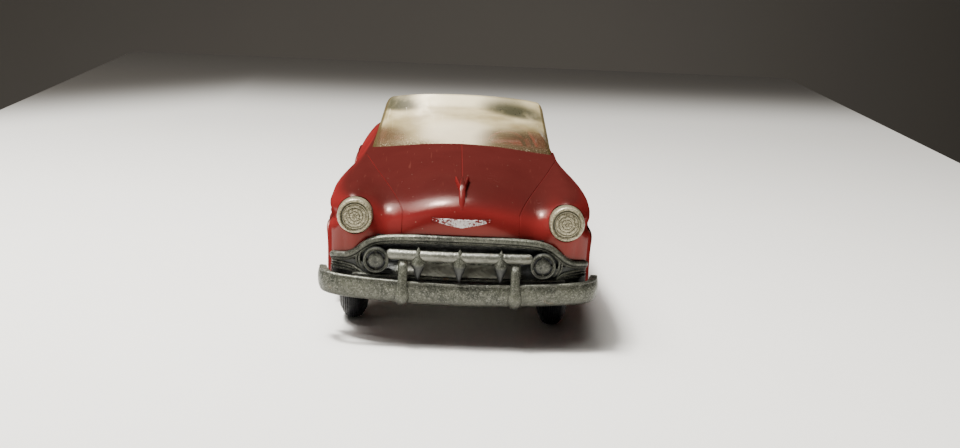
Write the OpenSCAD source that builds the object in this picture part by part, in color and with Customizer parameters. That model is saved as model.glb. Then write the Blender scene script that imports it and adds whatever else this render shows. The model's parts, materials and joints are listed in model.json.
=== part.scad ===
// Friction-drive toy convertible: a hollow moulded body on a tinplate chassis, with a flywheel motor.
// X is across the car, Y runs from the front bumper (-Y) to the rear bumper (+Y), Z is up.
// The origin is on the floor, under the middle of the car.

/* [Wheels] */
// Distance between the front and rear axles
wheelbase = 117; // [115:0.5:118]
// Outside diameter of each tyre
tyre_d = 28; // [27:0.1:28.4]
// Width of each tyre
tyre_w = 7.8; // [6.6:0.1:8]
// Distance between the middles of the two front tyres
front_track = 56; // [56:0.1:57.2]
// Distance between the middles of the two rear tyres
rear_track = 56.8; // [56:0.1:57.2]
// How far the front axle has slid sideways in its bearings
front_axle_slide = -1; // [-1.6:0.1:1]
// Diameter of both axles
axle_d = 2.6; // [2.2:0.1:2.8]

/* [Body] */
// Thickness of the moulded body wall
wall = 1.8; // [1.4:0.1:2]
// Thickness of the clear windscreen
glass_t = 1; // [0.8:0.1:1.4]
// Thickness of the tinplate chassis and motor frame
tin = 0.8; // [0.6:0.1:0.9]
// Diameter of each headlamp lens
headlamp_d = 9.5; // [9:0.1:9.8]

/* [Motor] */
// Teeth on the drive gear and on the idler gear
gear_teeth = 32; // [32:1:33]
// Teeth on the two pinions
pinion_teeth = 12; // [12:1:12]
// Pitch diameter per tooth
gear_module = 0.5; // [0.5:0.01:0.5]
// Diameter of the flywheel
flywheel_d = 18; // [14:0.5:18]
// Thickness of the flywheel
flywheel_w = 7; // [4:0.5:7]

/* [Hidden] */
$fn = 48;

red = "firebrick";
cast_grey = "dimgray";
tin_grey = "silver";
steel = "gray";
far = 200;                      // longer than any cut needs
fit_gap = 0.05;                 // radial clearance of a running shaft

// axles
tyre_r = tyre_d / 2;
axle_r = axle_d / 2;
front_y = -69.5;
rear_y = front_y + wheelbase;
rim_r = 8.4;
hub_r = 2.6;
hub_w = 5;
axle_end = 1.6;                 // axle standing out of the wheel hub

// chassis
plate_z = 9.4;                  // underside of the chassis plate
plate_top = plate_z + tin;
lug_x = 17;
screw_y = [-82, 83];
screw_r = 0.9;
head_r = 2.3;
head_h = 0.9;
cup_h = head_h + tin;           // the plate is pressed up round each screw head, so the head is flush
boss_r = 3;
boss_top = [41.8, 34.2];        // each reaches into the skin above it
rivet_r = 0.65;
rivet_head_r = 1.2;
rivet_head_h = 0.4;

// motor
mesh_distance = gear_module * (gear_teeth + pinion_teeth) / 2;
idler_rise = 32;                // angle of the idler above the rear axle, seen from the side
idler_at = [rear_y + mesh_distance * cos(idler_rise), tyre_r + mesh_distance * sin(idler_rise)];
fly_at = [idler_at[0] + mesh_distance, idler_at[1]];
frame_x = 8.2;                  // inside face of each motor frame plate
drive_x = -7;
drive_w = 2.5;
idler_x = -3.4;
idler_w = 2;
idler_r = 0.8;
fly_x = 0.4;
pressure_angle = 25;
backlash = 0.14;
pillars = [[42.5, 23.5], [60.5, 30.3], [74.5, 28]];
rivets_y = [55, 70];
foot_w = 4;
rivet_x = frame_x + tin + foot_w / 2;

// ---- curves and skins -------------------------------------------------------------------------

// Weights of four control points at t along one span of a uniform cubic B-spline
function weights(t) =
    [pow(1 - t, 3), 3 * pow(t, 3) - 6 * t * t + 4, -3 * pow(t, 3) + 3 * t * t + 3 * t + 1, pow(t, 3)] / 6;

// Control points with one more at each end, so that the curve starts and stops on its end points
function with_ends(p) =
    let (last = len(p) - 1) concat([2 * p[0] - p[1]], p, [2 * p[last] - p[last - 1]]);

// A B-spline through control points p, cut into n steps a span
function curve(p, n) =
    let (q = with_ends(p))
    [for (i = [0 : len(p) - 2], k = [0 : (i == len(p) - 2 ? n : n - 1)])
        weights(k / n) * [q[i], q[i + 1], q[i + 2], q[i + 3]]];

function mirrored(p) = [-p[0], p[1], p[2]];
function across(half) = concat([for (j = [len(half) - 1 : -1 : 1]) mirrored(half[j])], half);
function unit(v) = v / norm(v);

// A closed solid through rings of points that all have the same count. Seen from the last ring, the
// points of a ring run clockwise.
module skin(rings) {
    n = len(rings[0]);
    m = len(rings);
    polyhedron(
        points = [for (r = rings) each r],
        faces = concat(
            [[for (j = [n - 1 : -1 : 0]) j]],
            [for (i = [0 : m - 2], j = [0 : n - 1]) [i * n + j, i * n + (j + 1) % n, (i + 1) * n + j]],
            [for (i = [0 : m - 2], j = [0 : n - 1])
                [(i + 1) * n + j, i * n + (j + 1) % n, (i + 1) * n + (j + 1) % n]],
            [[for (j = [0 : n - 1]) (m - 1) * n + j]]
        )
    );
}

// Direction of a path at point i, level with the floor
function heading(path, i) =
    let (a = path[max(i - 1, 0)], b = path[min(i + 1, len(path) - 1)]) unit([b[0] - a[0], b[1] - a[1]]);

// A bar that follows a path: profile points are [outward, up], shrunk to tip at both ends
module bar(path, profile, tip = 0.4) {
    last = len(path) - 1;
    skin([for (i = [0 : last])
        let (
            h = heading(path, i),
            from_end = min(i, last - i),
            s = from_end == 0 ? tip : (from_end == 1 ? (1 + tip) / 2 : 1)
        )
        [for (q = profile) path[i] + s * [q[0] * h[1], -q[0] * h[0], q[1]]]]);
}

function ellipse(rx, rz, n) = [for (k = [0 : n - 1]) [rx * cos(360 * k / n), rz * sin(360 * k / n)]];

// One mesh from many smooth pieces
module moulded() {
    resize([0, 0, 0]) union() children();
}

// ---- body -------------------------------------------------------------------------------------

// Half sections of the body, from the lower edge of the nose over the car to the lower edge of the tail.
// Each has nine points from the middle outwards and down: centre, bonnet, bonnet seam, valley beside the
// fender, fender crown, shoulder, widest line, lower side, bottom edge.
sections = [
    // nose, lower edge
    [[0, -93.5, 13], [9, -93.4, 13], [16, -93, 13], [22, -92.6, 13], [28, -92, 13],
     [32.4, -90.5, 13], [35, -87.5, 12.5], [35.7, -85, 12], [35.8, -84, 10]],
    // behind the grille
    [[0, -94.5, 20], [9, -94.4, 20], [16, -94, 20], [22, -93.2, 20], [28.2, -92.6, 20],
     [33, -90.6, 20], [35.4, -87, 19.5], [36, -83.5, 16.5], [36, -82, 10]],
    // above the grille
    [[0, -95.6, 28], [9, -95.4, 28], [15.6, -94.6, 28], [21, -92.6, 27.5], [28.2, -93.2, 27.5],
     [33.4, -91, 27], [35.7, -86.5, 25.5], [36.2, -80, 19], [36.1, -79, 9.5]],
    // headlamps
    [[0, -96.6, 33], [9, -96.1, 32.8], [15.8, -94.2, 32.2], [21.4, -90.4, 31.5], [28.4, -95.6, 34],
     [34, -91.4, 33], [36.2, -84.5, 29], [36.6, -76, 21], [36.3, -75, 9]],
    // brow of the nose
    [[0, -96.2, 37.8], [8.5, -95, 37.2], [15.8, -91.8, 35.6], [21.6, -88.4, 34.3], [28.4, -93.4, 40.4],
     [33.8, -87.6, 37.8], [36.7, -79, 30.5], [37, -69, 22], [36.5, -69, 9]],
    // top of the nose
    [[0, -90.5, 41.6], [9, -89, 40.4], [16.6, -85.8, 37.8], [22.4, -84.6, 37], [28.6, -86.5, 41.4],
     [34, -81.5, 38.6], [37, -72.5, 31], [37.3, -62, 22], [36.7, -62, 9]],
    // bonnet, front
    [[0, -79, 44], [10, -78, 42.8], [18.6, -76.5, 39.8], [23.6, -76.5, 39.4], [29, -77.5, 41.6],
     [34.3, -74, 38.8], [37.2, -66, 31.4], [37.6, -56, 22.5], [37, -56, 9]],
    // bonnet, middle
    [[0, -64, 45.6], [11.5, -63.5, 44.5], [22.6, -63.5, 41.4], [26.4, -63.5, 41], [30.2, -64, 41.4],
     [34.2, -61.5, 38.6], [37.4, -56, 31.4], [37.8, -48, 23], [37.1, -48, 9]],
    // bonnet, rear
    [[0, -49, 46.6], [13.5, -49, 45.5], [26.6, -49.5, 42.3], [28.4, -49.5, 42], [30, -50, 41.5],
     [33.4, -48, 38.2], [37.1, -44, 31.2], [37.7, -38, 23], [37.1, -38, 9]],
    // cowl
    [[0, -37, 46.6], [14.5, -37, 45.5], [27.8, -37, 42.9], [28.6, -37, 42.6], [29.2, -37, 41.7],
     [32.2, -36, 37.6], [36.8, -33, 30.8], [37.6, -28, 23.5], [37.1, -28, 9]],
    // door, front
    [[0, -18, 44], [15, -18, 43.5], [25.8, -18, 42.6], [27.4, -18, 42.4], [28.6, -18, 41.5],
     [31.8, -18, 36.6], [36.2, -18, 30.2], [37.4, -18, 23.5], [37.1, -18, 9]],
    // door, middle
    [[0, 4, 42.5], [15, 4, 42.5], [25.3, 4, 42], [27, 4, 41.8], [28.2, 4, 40.9],
     [30.8, 4, 36], [35.4, 4, 29.8], [37, 4, 23.5], [36.8, 4, 9]],
    // rear quarter
    [[0, 22, 42.8], [15, 22, 42.8], [24.2, 22, 42.4], [26.4, 22, 41.8], [28, 22, 40.6],
     [30, 22, 35.6], [34.6, 22, 29.2], [36.5, 22, 23], [36.4, 22, 9]],
    // rear fender
    [[0, 40, 42.6], [13, 40, 42.4], [21.6, 40, 42], [25.4, 40, 41.4], [28.2, 40, 40],
     [30.9, 40, 35.6], [35.7, 40, 28.8], [36.9, 40, 21.5], [36.3, 40, 9]],
    // boot, front
    [[0, 56, 41.8], [12.5, 56, 41.5], [20.5, 56, 40.4], [24.6, 57, 39.4], [27.8, 58, 38.8],
     [31.6, 58, 35], [35.9, 58, 28.2], [36.9, 58, 20.5], [36, 58, 9]],
    // boot, rear
    [[0, 72, 39.4], [12, 72, 38.9], [19.6, 73, 37.2], [23.6, 74, 36.2], [27.6, 75, 36.8],
     [31.6, 76, 33.6], [35.4, 75, 27.2], [36.3, 74, 20], [35.6, 73, 9.5]],
    // end of the boot
    [[0, 85.5, 34.4], [12, 85.5, 33.9], [19.2, 86.5, 32], [24, 87.5, 31.2], [28.8, 91.5, 34.6],
     [32.2, 90.5, 31.6], [34.6, 87.5, 25.6], [35.4, 85, 19], [35.3, 82, 10]],
    // tail
    [[0, 93, 25], [12, 92.8, 25], [20, 92.4, 24], [25, 92, 24], [30, 95.4, 28],
     [33.4, 93.6, 25.6], [35.3, 91, 21.5], [35.8, 88.5, 17], [35.6, 87, 11]],
    // tail, lower edge
    [[0, 93, 12], [12, 92.8, 12], [20, 92.6, 12], [25.5, 92.4, 12], [30, 92.4, 12],
     [33, 91.6, 12], [34.8, 90.2, 12], [35.2, 89.6, 11.6], [35.3, 89, 11]]
];
steps = 2;                      // skin steps between neighbouring control points

long_lines = [for (j = [0 : 8]) curve([for (s = sections) s[j]], steps)];
outside = [for (i = [0 : len(long_lines[0]) - 1]) curve(across([for (l = long_lines) l[i]]), steps)];
rows = len(outside);
cols = len(outside[0]);

function normal(i, j) =
    let (
        along = outside[min(i + 1, rows - 1)][j] - outside[max(i - 1, 0)][j],
        over = outside[i][min(j + 1, cols - 1)] - outside[i][max(j - 1, 0)]
    )
    unit(cross(over, along));

// The moulded skin: the outside surface, and the same surface moved in by the wall
module body_skin() {
    n = rows * cols;
    edge = concat(
        [for (j = [0 : cols - 2]) j],
        [for (i = [0 : rows - 2]) i * cols + cols - 1],
        [for (j = [cols - 1 : -1 : 1]) (rows - 1) * cols + j],
        [for (i = [rows - 1 : -1 : 1]) i * cols]
    );
    count = len(edge);
    polyhedron(
        points = concat(
            [for (r = outside) each r],
            [for (i = [0 : rows - 1], j = [0 : cols - 1]) outside[i][j] - wall * normal(i, j)]
        ),
        faces = concat(
            [for (i = [0 : rows - 2], j = [0 : cols - 2])
                let (a = i * cols + j, b = a + 1, c = b + cols, d = a + cols) each [[a, d, c], [a, c, b]]],
            [for (i = [0 : rows - 2], j = [0 : cols - 2])
                let (a = i * cols + j + n, b = a + 1, c = b + cols, d = a + cols)
                    each [[a, c, d], [a, b, c]]],
            [for (k = [0 : count - 1])
                let (a = edge[k], b = edge[(k + 1) % count]) each [[a, b, b + n], [a, b + n, a + n]]]
        )
    );
}

// Outline of the open cabin, seen from above
cabin_front = -26;
cabin_rear = 35;
cabin_half = 25.5;
module cabin_outline(inset = 0) {
    offset(r = -inset) offset(r = 6) offset(delta = -6)
        polygon([
            [-cabin_half, cabin_front + 6], [-cabin_half / 2, cabin_front + 1], [0, cabin_front],
            [cabin_half / 2, cabin_front + 1], [cabin_half, cabin_front + 6],
            [cabin_half - 1, cabin_rear], [1 - cabin_half, cabin_rear]
        ]);
}

arch_r = 15.6;
module wheel_arches() {
    for (y = [front_y, rear_y], side = [-1, 1])
        translate([side * 19, y, tyre_r + 0.4]) rotate([0, side * 90, 0]) cylinder(r = arch_r, h = 25);
}

headlamp_at = [28.4, -93.4, 33.8];
lamp_seat = 0.15;
module headlamp_seats() {
    for (side = [-1, 1])
        translate([side * headlamp_at[0], headlamp_at[1] - 6, headlamp_at[2]])
            rotate([-90, 0, 0]) cylinder(d = headlamp_d + 2 * lamp_seat, h = 10);
}

tail_lamp_at = [30.4, 92.4, 28.6];
tail_lamp_r = 2.3;
module tail_lamp_seats() {
    for (side = [-1, 1])
        translate([side * tail_lamp_at[0], tail_lamp_at[1] - 4, tail_lamp_at[2]])
            rotate([-90, 0, 0]) cylinder(r = tail_lamp_r + lamp_seat, h = 8);
}

// Outline of the hole that the grille casting fills, seen from the front
grille_half = [[21.5, 27.6], [25.5, 25.6], [28.5, 22], [32.3, 18.5], [32.3, 13.6]];
module grille_outline(grow = 0) {
    offset(delta = grow) polygon(concat(
        [for (p = grille_half) p],
        [for (i = [len(grille_half) - 1 : -1 : 0]) [-grille_half[i][0], grille_half[i][1]]]
    ));
}
module upright(from_y, to_y) {
    translate([0, to_y, 0]) rotate([90, 0, 0]) linear_extrude(to_y - from_y) children();
}

// Fin moulded on the front of the bonnet, with two small wings that spread from its top
fin_front = [0, -94.2, 38];
fin_crest = [0, -90.3, 42.3];
fin_top = [0, -85, 45];
fin_heel = [0, -83.6, 42.4];
module ball(at, r) {
    translate(at) sphere(r, $fn = 14);
}
module bonnet_fin() {
    hull() {
        ball(fin_front, 0.5);
        ball(fin_crest, 0.8);
        ball(fin_heel, 0.8);
    }
    hull() {
        ball(fin_crest, 0.8);
        ball(fin_top, 0.7);
        ball(fin_heel, 0.8);
    }
    for (side = [-1, 1])
        hull() {
            ball([0, -88.6, 43], 0.5);
            ball([side * 1.7, -82.6, 44], 0.4);
            ball([side * 1.4, -82.6, 42.6], 0.4);
        }
}

// Plain tapered badge, generic
module badge() {
    upright(-96.4, -94.8) polygon([
        [-8, 34.3], [-5, 34.7], [0, 34.8], [5, 34.7], [8, 34.3],
        [6, 33.3], [3, 32.4], [0, 32.1], [-3, 32.4], [-6, 33.3]
    ]);
}

module bosses() {
    for (i = [0, 1])
        translate([0, screw_y[i], plate_z + cup_h])
            cylinder(r = boss_r, h = boss_top[i] - plate_z - cup_h, $fn = 32);
}

module body_shell() {
    color(red) moulded() difference() {
        union() {
            body_skin();
            bonnet_fin();
            badge();
            bosses();
        }
        translate([0, 0, 36]) linear_extrude(far) cabin_outline();
        wheel_arches();
        headlamp_seats();
        tail_lamp_seats();
        upright(-far, -88) grille_outline();
        for (y = screw_y)
            translate([0, y, 0]) cylinder(r = screw_r + 0.1, h = 24, $fn = 32);
    }
}

// ---- windscreen -------------------------------------------------------------------------------

glass_base = [[27.4, -31, 42.6], [22, -35.2, 43.7], [12, -38.6, 44.7], [0, -39.8, 45]];
glass_top = [[23.8, -19.8, 56.9], [18.5, -22.6, 58.2], [10, -24.9, 59.1], [0, -25.6, 59.4]];
glass_steps = 3;
// The windscreen sits a little off centre, and more so at its top
base_shift = [0.4, 0, 0];
top_shift = [0.8, 0, 0];
function shifted(p, by) = [for (q = p) q + by];

module windscreen() {
    base = shifted(curve(across([for (i = [3 : -1 : 0]) glass_base[i]]), glass_steps), base_shift);
    top = shifted(curve(across([for (i = [3 : -1 : 0]) glass_top[i]]), glass_steps), top_shift);
    back = [0, glass_t * 0.77, glass_t * 0.64];
    color("wheat", 0.5) skin([for (i = [0 : len(base) - 1]) [
        base[i], top[i], top[i] + [0, back[1], 0], base[i] + [0, back[1] / 0.6, 0]
    ]]);
}

// ---- grille and bumpers -----------------------------------------------------------------------

top_rail = [
    [0, -96.2, 29], [9, -96.1, 29], [18, -95.7, 29], [23, -95.2, 28.6], [26.4, -94.4, 27],
    [28.4, -93.6, 25], [30.4, -92.8, 23.2]
];
bar_z = 24.4;
teeth_x = [-11, 0, 11];
park_lamp_at = [22.3, -94, 22.7];

module tooth() {
    rotate_extrude($fn = 20)
        polygon([[0, -4.8], [0.4, -4.5], [1.8, -0.3], [1.75, 0.3], [0.4, 4.2], [0, 4.4]]);
}

module park_lamp() {
    rotate([90, 0, 0]) {
        difference() {
            cylinder(r = 3.7, h = 2.8, $fn = 28);
            translate([0, 0, 1.8]) cylinder(r = 2.8, h = 2, $fn = 28);
        }
        cylinder(r = 1.8, h = 2.5, $fn = 24);
    }
}

module wing(side) {
    for (k = [0 : 2])
        bar([for (p = curve([[28, -94.2], [31, -93], [33.4, -91.4], [34.8, -88.6]], 2))
            [side * p[0], p[1], 20.6 + 1.35 * k]], ellipse(0.9, 0.8, 8), 0.7);
}

module grille() {
    color(cast_grey) moulded() {
        upright(-94.2, -91.4) grille_outline(-0.15);
        bar(curve(across(top_rail), 2), ellipse(1.1, 1.15, 10), 0.6);
        bar([for (x = [-19 : 2 : 19]) [x, -95.6 + 0.0012 * x * x, bar_z]], ellipse(1.5, 1.5, 12), 0.8);
        for (x = teeth_x)
            translate([x, -96.4 + 0.0012 * x * x, 22.4]) tooth();
        for (side = [-1, 1]) {
            translate([side * park_lamp_at[0], park_lamp_at[1], park_lamp_at[2]]) park_lamp();
            wing(side);
        }
        bar([for (x = [-30 : 4 : 30]) [x, -95.8 + 0.0022 * x * x, 18.3]], ellipse(1.6, 0.8, 10), 0.7);
    }
}

bumper_path = [
    [0, -98.6, 14.4], [10, -98.5, 14.5], [20, -98, 14.9], [29, -96.9, 15.3], [35, -95, 15.7],
    [37.1, -91.6, 15.9], [37.3, -88, 16]
];
bumper_profile = [
    [0, -3.2], [0.55, -3], [0.85, -1.6], [0.6, -0.4], [0.75, 0.8], [0.9, 1.8], [0.5, 3], [0, 3.2],
    [-0.7, 2.9], [-0.8, 0], [-0.7, -2.9]
];
guard_x = 15;

module guard(side) {
    x = side * guard_x;
    hull() {
        translate([x, -98.9, 13.3]) scale([1.85, 1.3, 1.85] / 1.85) sphere(1.85, $fn = 20);
        translate([x, -98.7, 16.4]) cylinder(r = 1.4, h = 0.5, $fn = 20);
    }
    hull() {
        translate([x, -98.6, 16.4]) cylinder(r = 1.3, h = 0.5, $fn = 20);
        translate([x, -97.9, 21.4]) sphere(1.3, $fn = 20);
        translate([x, -96.6, 22.4]) sphere(1.35, $fn = 20);
    }
}

module bumper(reach) {
    bar(curve(across(bumper_path), 2), bumper_profile, 0.75);
    for (side = [-1, 1]) {
        guard(side);
        translate([side * guard_x - 1.5, -98, 14]) cube([3, reach, 2.6]);
    }
}

module front_bumper() {
    color(cast_grey) moulded() intersection() {
        bumper(3.9);
        translate([-50, -car_half, 0]) cube([100, 60, 60]);
    }
}

car_half = 99.5;
module rear_bumper() {
    color(cast_grey) moulded() mirror([0, 1, 0]) intersection() {
        bumper(7);
        translate([-50, -car_half, 0]) cube([100, 60, 60]);
    }
}

// ---- lamps ------------------------------------------------------------------------------------

module headlamp(side) {
    r = headlamp_d / 2;
    color("silver") translate([side * headlamp_at[0], headlamp_at[1] + 3, headlamp_at[2]])
        rotate([90, 0, 0]) rotate_extrude() polygon([
            [0, 0], [r, 0], [r, 3.2], [r - 0.4, 3.7], [r - 0.9, 3.7], [r - 1.1, 3.2],
            [r - 2.2, 3.45], [1.2, 3.8], [0, 3.85]
        ]);
}
module headlamp_left() { headlamp(1); }
module headlamp_right() { headlamp(-1); }

module tail_lamp(side) {
    color("maroon") translate([side * tail_lamp_at[0], tail_lamp_at[1] - 2.5, tail_lamp_at[2]])
        rotate([-90, 0, 0]) rotate_extrude() polygon([
            [0, 0], [tail_lamp_r, 0], [tail_lamp_r, 3.1], [tail_lamp_r - 0.5, 3.7], [0, 4.1]
        ]);
}
module tail_lamp_left() { tail_lamp(1); }
module tail_lamp_right() { tail_lamp(-1); }

// ---- interior ---------------------------------------------------------------------------------

tub_half = 24.4;
tub_front = -31;
tub_rear = 36;
tub_floor = 16;
tub_top = 38;
tub_wall = 1.2;
seat_half = 22.6;

module interior_tub() {
    tub_y = tub_rear - tub_front;
    color(red) difference() {
        translate([-tub_half, tub_front, tub_floor]) cube([2 * tub_half, tub_y, tub_top - tub_floor]);
        translate([tub_wall - tub_half, tub_front + tub_wall, tub_floor + tub_wall])
            cube([2 * (tub_half - tub_wall), tub_y - 2 * tub_wall, far]);
    }
}

// A bench: cushion and back, as one moulding
module bench(front, depth, back_top) {
    translate([seat_half, 0, 0]) rotate([0, -90, 0]) linear_extrude(2 * seat_half) polygon([
        [tub_floor + tub_wall, front], [27, front], [28, front + 1], [26.6, front + depth - 5],
        [back_top - 1, front + depth - 3], [back_top, front + depth - 1.6],
        [back_top - 1, front + depth], [tub_floor + tub_wall, front + depth]
    ]);
}
module front_seat() { color(red) bench(-8.5, 16, 38.6); }
module rear_seat() { color(red) bench(19, 15.6, 37.4); }

dash_y = tub_front + tub_wall;
module dashboard() {
    color(red) translate([seat_half, 0, 0]) rotate([0, -90, 0]) linear_extrude(2 * seat_half) polygon([
        [32.5, dash_y], [38.4, dash_y], [38.4, dash_y + 2.6], [37, dash_y + 3.6], [33, dash_y + 2.4]
    ]);
}

wheel_at = [14.5, -13.3, 40.5];
column_lean = 14;               // angle of the steering column above level
ring_r = 6.4;
rim_bar = 0.65;
column_r = 1;
module on_column() {
    translate(wheel_at) rotate([column_lean - 90, 0, 0]) children();
}

module steering_wheel() {
    color(red) on_column() {
        rotate_extrude() translate([ring_r, 0]) circle(rim_bar);
        difference() {
            union() {
                translate([0, 0, -1.2]) cylinder(r = 1.6, h = 1.8);
                for (a = [0, 180])
                    rotate([0, 0, a]) translate([0, -0.5, -0.4]) cube([ring_r, 1, 0.8]);
            }
            translate([0, 0, -5]) cylinder(r = column_r, h = 4.6);
        }
    }
}

module steering_column() {
    color(red) on_column() translate([0, 0, -14.5]) cylinder(r = column_r, h = 14.1);
}

// ---- chassis ----------------------------------------------------------------------------------

front_narrow = 20.6;
module chassis_outline() {
    half = [
        [14, -87], [front_narrow, -84], [front_narrow, -51], [34.2, -49], [34.2, 28],
        [front_narrow, 30.5], [front_narrow, 65], [30, 68], [30, 82], [26, 87]
    ];
    polygon(concat(half, [for (i = [len(half) - 1 : -1 : 0]) [-half[i][0], half[i][1]]]));
}

module along_x(from_x, to_x) {
    translate([from_x, 0, 0]) rotate([90, 0, 90]) linear_extrude(to_x - from_x) children();
}

// Upright ear with a bearing hole for an axle
module lug(y) {
    along_x(0, tin) difference() {
        union() {
            translate([y - 4.5, plate_top - 0.2]) square([9, tyre_r - plate_top + 0.2]);
            translate([y, tyre_r]) circle(4.5);
        }
        translate([y, tyre_r]) circle(axle_r + fit_gap);
    }
}

gear_slot = 10;
module chassis_plate() {
    color(tin_grey) {
        difference() {
            union() {
                translate([0, 0, plate_z]) linear_extrude(tin) chassis_outline();
                for (y = screw_y)
                    translate([0, y, plate_z]) cylinder(r = head_r + tin, h = cup_h);
            }
            translate([drive_x - 1, rear_y - gear_slot, 0]) cube([drive_w + 2, 2 * gear_slot, 20]);
            for (y = screw_y) {
                translate([0, y, 0]) cylinder(r = screw_r + 0.2, h = 20);
                translate([0, y, 0]) cylinder(r = head_r + 0.1, h = plate_z + head_h);
            }
            for (y = rivets_y, side = [-1, 1])
                translate([side * rivet_x, y, 0]) {
                    cylinder(r = rivet_r + fit_gap, h = 20);
                    cylinder(r = rivet_head_r + fit_gap, h = plate_z + rivet_head_h);
                }
        }
        for (y = [front_y, rear_y], x = [-lug_x - tin, lug_x])
            translate([x, 0, 0]) lug(y);
    }
}

module chassis_screws() {
    color(steel) for (y = screw_y) translate([0, y, 0]) difference() {
        union() {
            translate([0, 0, plate_z]) cylinder(r = head_r, h = head_h);
            translate([0, 0, plate_z + 0.1]) cylinder(r = screw_r, h = 12);
        }
        translate([-3, -0.3, plate_z - 0.1]) cube([6, 0.6, 0.6]);
    }
}

// ---- motor ------------------------------------------------------------------------------------

function turned(p, a) = [p[0] * cos(a) - p[1] * sin(a), p[0] * sin(a) + p[1] * cos(a)];

// Half the angle of a tooth at radius r, for a gear with z teeth
function roll(rb, r) = r <= rb ? 0 : let (k = sqrt(r * r / (rb * rb) - 1)) k * 180 / PI - atan(k);
function half_tooth(z, r) =
    let (rp = gear_module * z / 2, rb = rp * cos(pressure_angle))
    90 / z - (backlash / 4) / rp * 180 / PI + roll(rb, rp) - roll(rb, r);

// Outline of an involute gear with a tooth centred on angle a
module gear_outline(z, a) {
    rp = gear_module * z / 2;
    tip = rp + 0.9 * gear_module;
    root = rp - 1.2 * gear_module;
    start = max(rp * cos(pressure_angle), root);
    flank = [for (k = [0 : 4]) start + (tip - start) * k / 4];
    one = concat(
        [turned([root, 0], -half_tooth(z, start) - 1)],
        [for (r = flank) turned([r, 0], -half_tooth(z, r))],
        [for (i = [4 : -1 : 0]) turned([flank[i], 0], half_tooth(z, flank[i]))],
        [turned([root, 0], half_tooth(z, start) + 1)]
    );
    polygon([for (i = [0 : z - 1], p = one) turned(p, a + 360 * i / z)]);
}

// A gear around the point at in the side view, between two X values
module gear(z, at, a, from_x, width, bore) {
    along_x(from_x, from_x + width) translate(at) difference() {
        gear_outline(z, a);
        circle(bore);
    }
}

rear_at = [rear_y, tyre_r];
module drive_gear() {
    color("goldenrod") gear(gear_teeth, rear_at, idler_rise, drive_x, drive_w, axle_r);
}

module idler_gear() {
    in_mesh = idler_rise + 180 + 180 / pinion_teeth;
    color("goldenrod") {
        gear(gear_teeth, idler_at, 0, idler_x, idler_w, idler_r);
        gear(pinion_teeth, idler_at, in_mesh, drive_x - 0.2, drive_w + 0.4, idler_r);
    }
}

module flywheel_pinion() {
    color("goldenrod")
        gear(pinion_teeth, fly_at, 180 + 180 / pinion_teeth, idler_x - 0.3, idler_w + 0.6, idler_r);
}

// A rod along X with its middle on the point at in the side view
module rod(at, from_x, to_x, r) {
    translate([from_x, at[0], at[1]]) rotate([0, 90, 0]) cylinder(r = r, h = to_x - from_x);
}

shaft_x = frame_x + tin + 0.8;
module idler_shaft() { color(steel) rod(idler_at, -shaft_x, shaft_x, idler_r); }
module flywheel_shaft() { color(steel) rod(fly_at, -shaft_x, shaft_x, idler_r); }

module flywheel() {
    color("dimgray") difference() {
        rod(fly_at, fly_x, fly_x + flywheel_w, flywheel_d / 2);
        rod(fly_at, fly_x - 1, fly_x + flywheel_w + 1, idler_r);
        rod(fly_at, fly_x + flywheel_w - 1, fly_x + flywheel_w + 1, flywheel_d / 2 - 2);
    }
}

module frame_plate(side) {
    color(tin_grey) difference() {
        union() {
            along_x(side > 0 ? frame_x : -frame_x - tin, side > 0 ? frame_x + tin : -frame_x) difference() {
                polygon([
                    [rear_y - 8, plate_top], [77, plate_top], [77, 29], [75, 31], [62, 32.6],
                    [58, 32.6], [rear_y - 8, 26]
                ]);
                translate(rear_at) circle(axle_r + fit_gap);
                translate(idler_at) circle(idler_r + fit_gap);
                translate(fly_at) circle(idler_r + fit_gap);
            }
            for (y = rivets_y)
                translate([side > 0 ? frame_x : -frame_x - tin - foot_w, y - 3, plate_top])
                    cube([foot_w + tin, 6, tin]);
        }
        for (y = rivets_y)
            translate([side * rivet_x, y, 0]) cylinder(r = rivet_r + fit_gap, h = 20);
    }
}
module motor_frame_left() { frame_plate(1); }
module motor_frame_right() { frame_plate(-1); }

module motor_pillars() {
    color(steel) for (p = pillars) rod(p, -frame_x, frame_x, 1.2);
}

module motor_rivets() {
    color(steel) for (y = rivets_y, side = [-1, 1])
        translate([side * rivet_x, y, 0]) {
            translate([0, 0, plate_z]) cylinder(r = rivet_head_r, h = rivet_head_h);
            translate([0, 0, plate_z + 0.1]) cylinder(r = rivet_r, h = 2 * tin);
            translate([0, 0, plate_top + tin]) cylinder(r = rivet_head_r, h = rivet_head_h);
        }
}

// ---- wheels -----------------------------------------------------------------------------------

module front_axle() {
    reach = front_track / 2 + tyre_w / 2 + axle_end;
    color(steel) rod([front_y, tyre_r], front_axle_slide - reach, front_axle_slide + reach, axle_r);
}
module rear_axle() {
    reach = rear_track / 2 + tyre_w / 2 + axle_end;
    color(steel) rod(rear_at, -reach, reach, axle_r);
}

// Wheel with its outside facing +X before it is turned to its own side
module wheel_disc(x, y, side) {
    color("silver") translate([x, y, tyre_r]) rotate([0, side * 90, 0]) rotate_extrude() polygon([
        [axle_r, -hub_w / 2], [hub_r, -hub_w / 2], [hub_r, -0.8], [rim_r - 1.2, -0.8],
        [rim_r - 1.2, 0.6 - tyre_w / 2], [rim_r, 0.6 - tyre_w / 2], [rim_r, tyre_w / 2 - 0.4],
        [rim_r - 1, tyre_w / 2 - 0.4], [rim_r - 1.8, 0.9],
        [4.9, 0.9], [4.5, 1.9], [3.4, 2.6], [axle_r, 2.8]
    ]);
}

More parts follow.
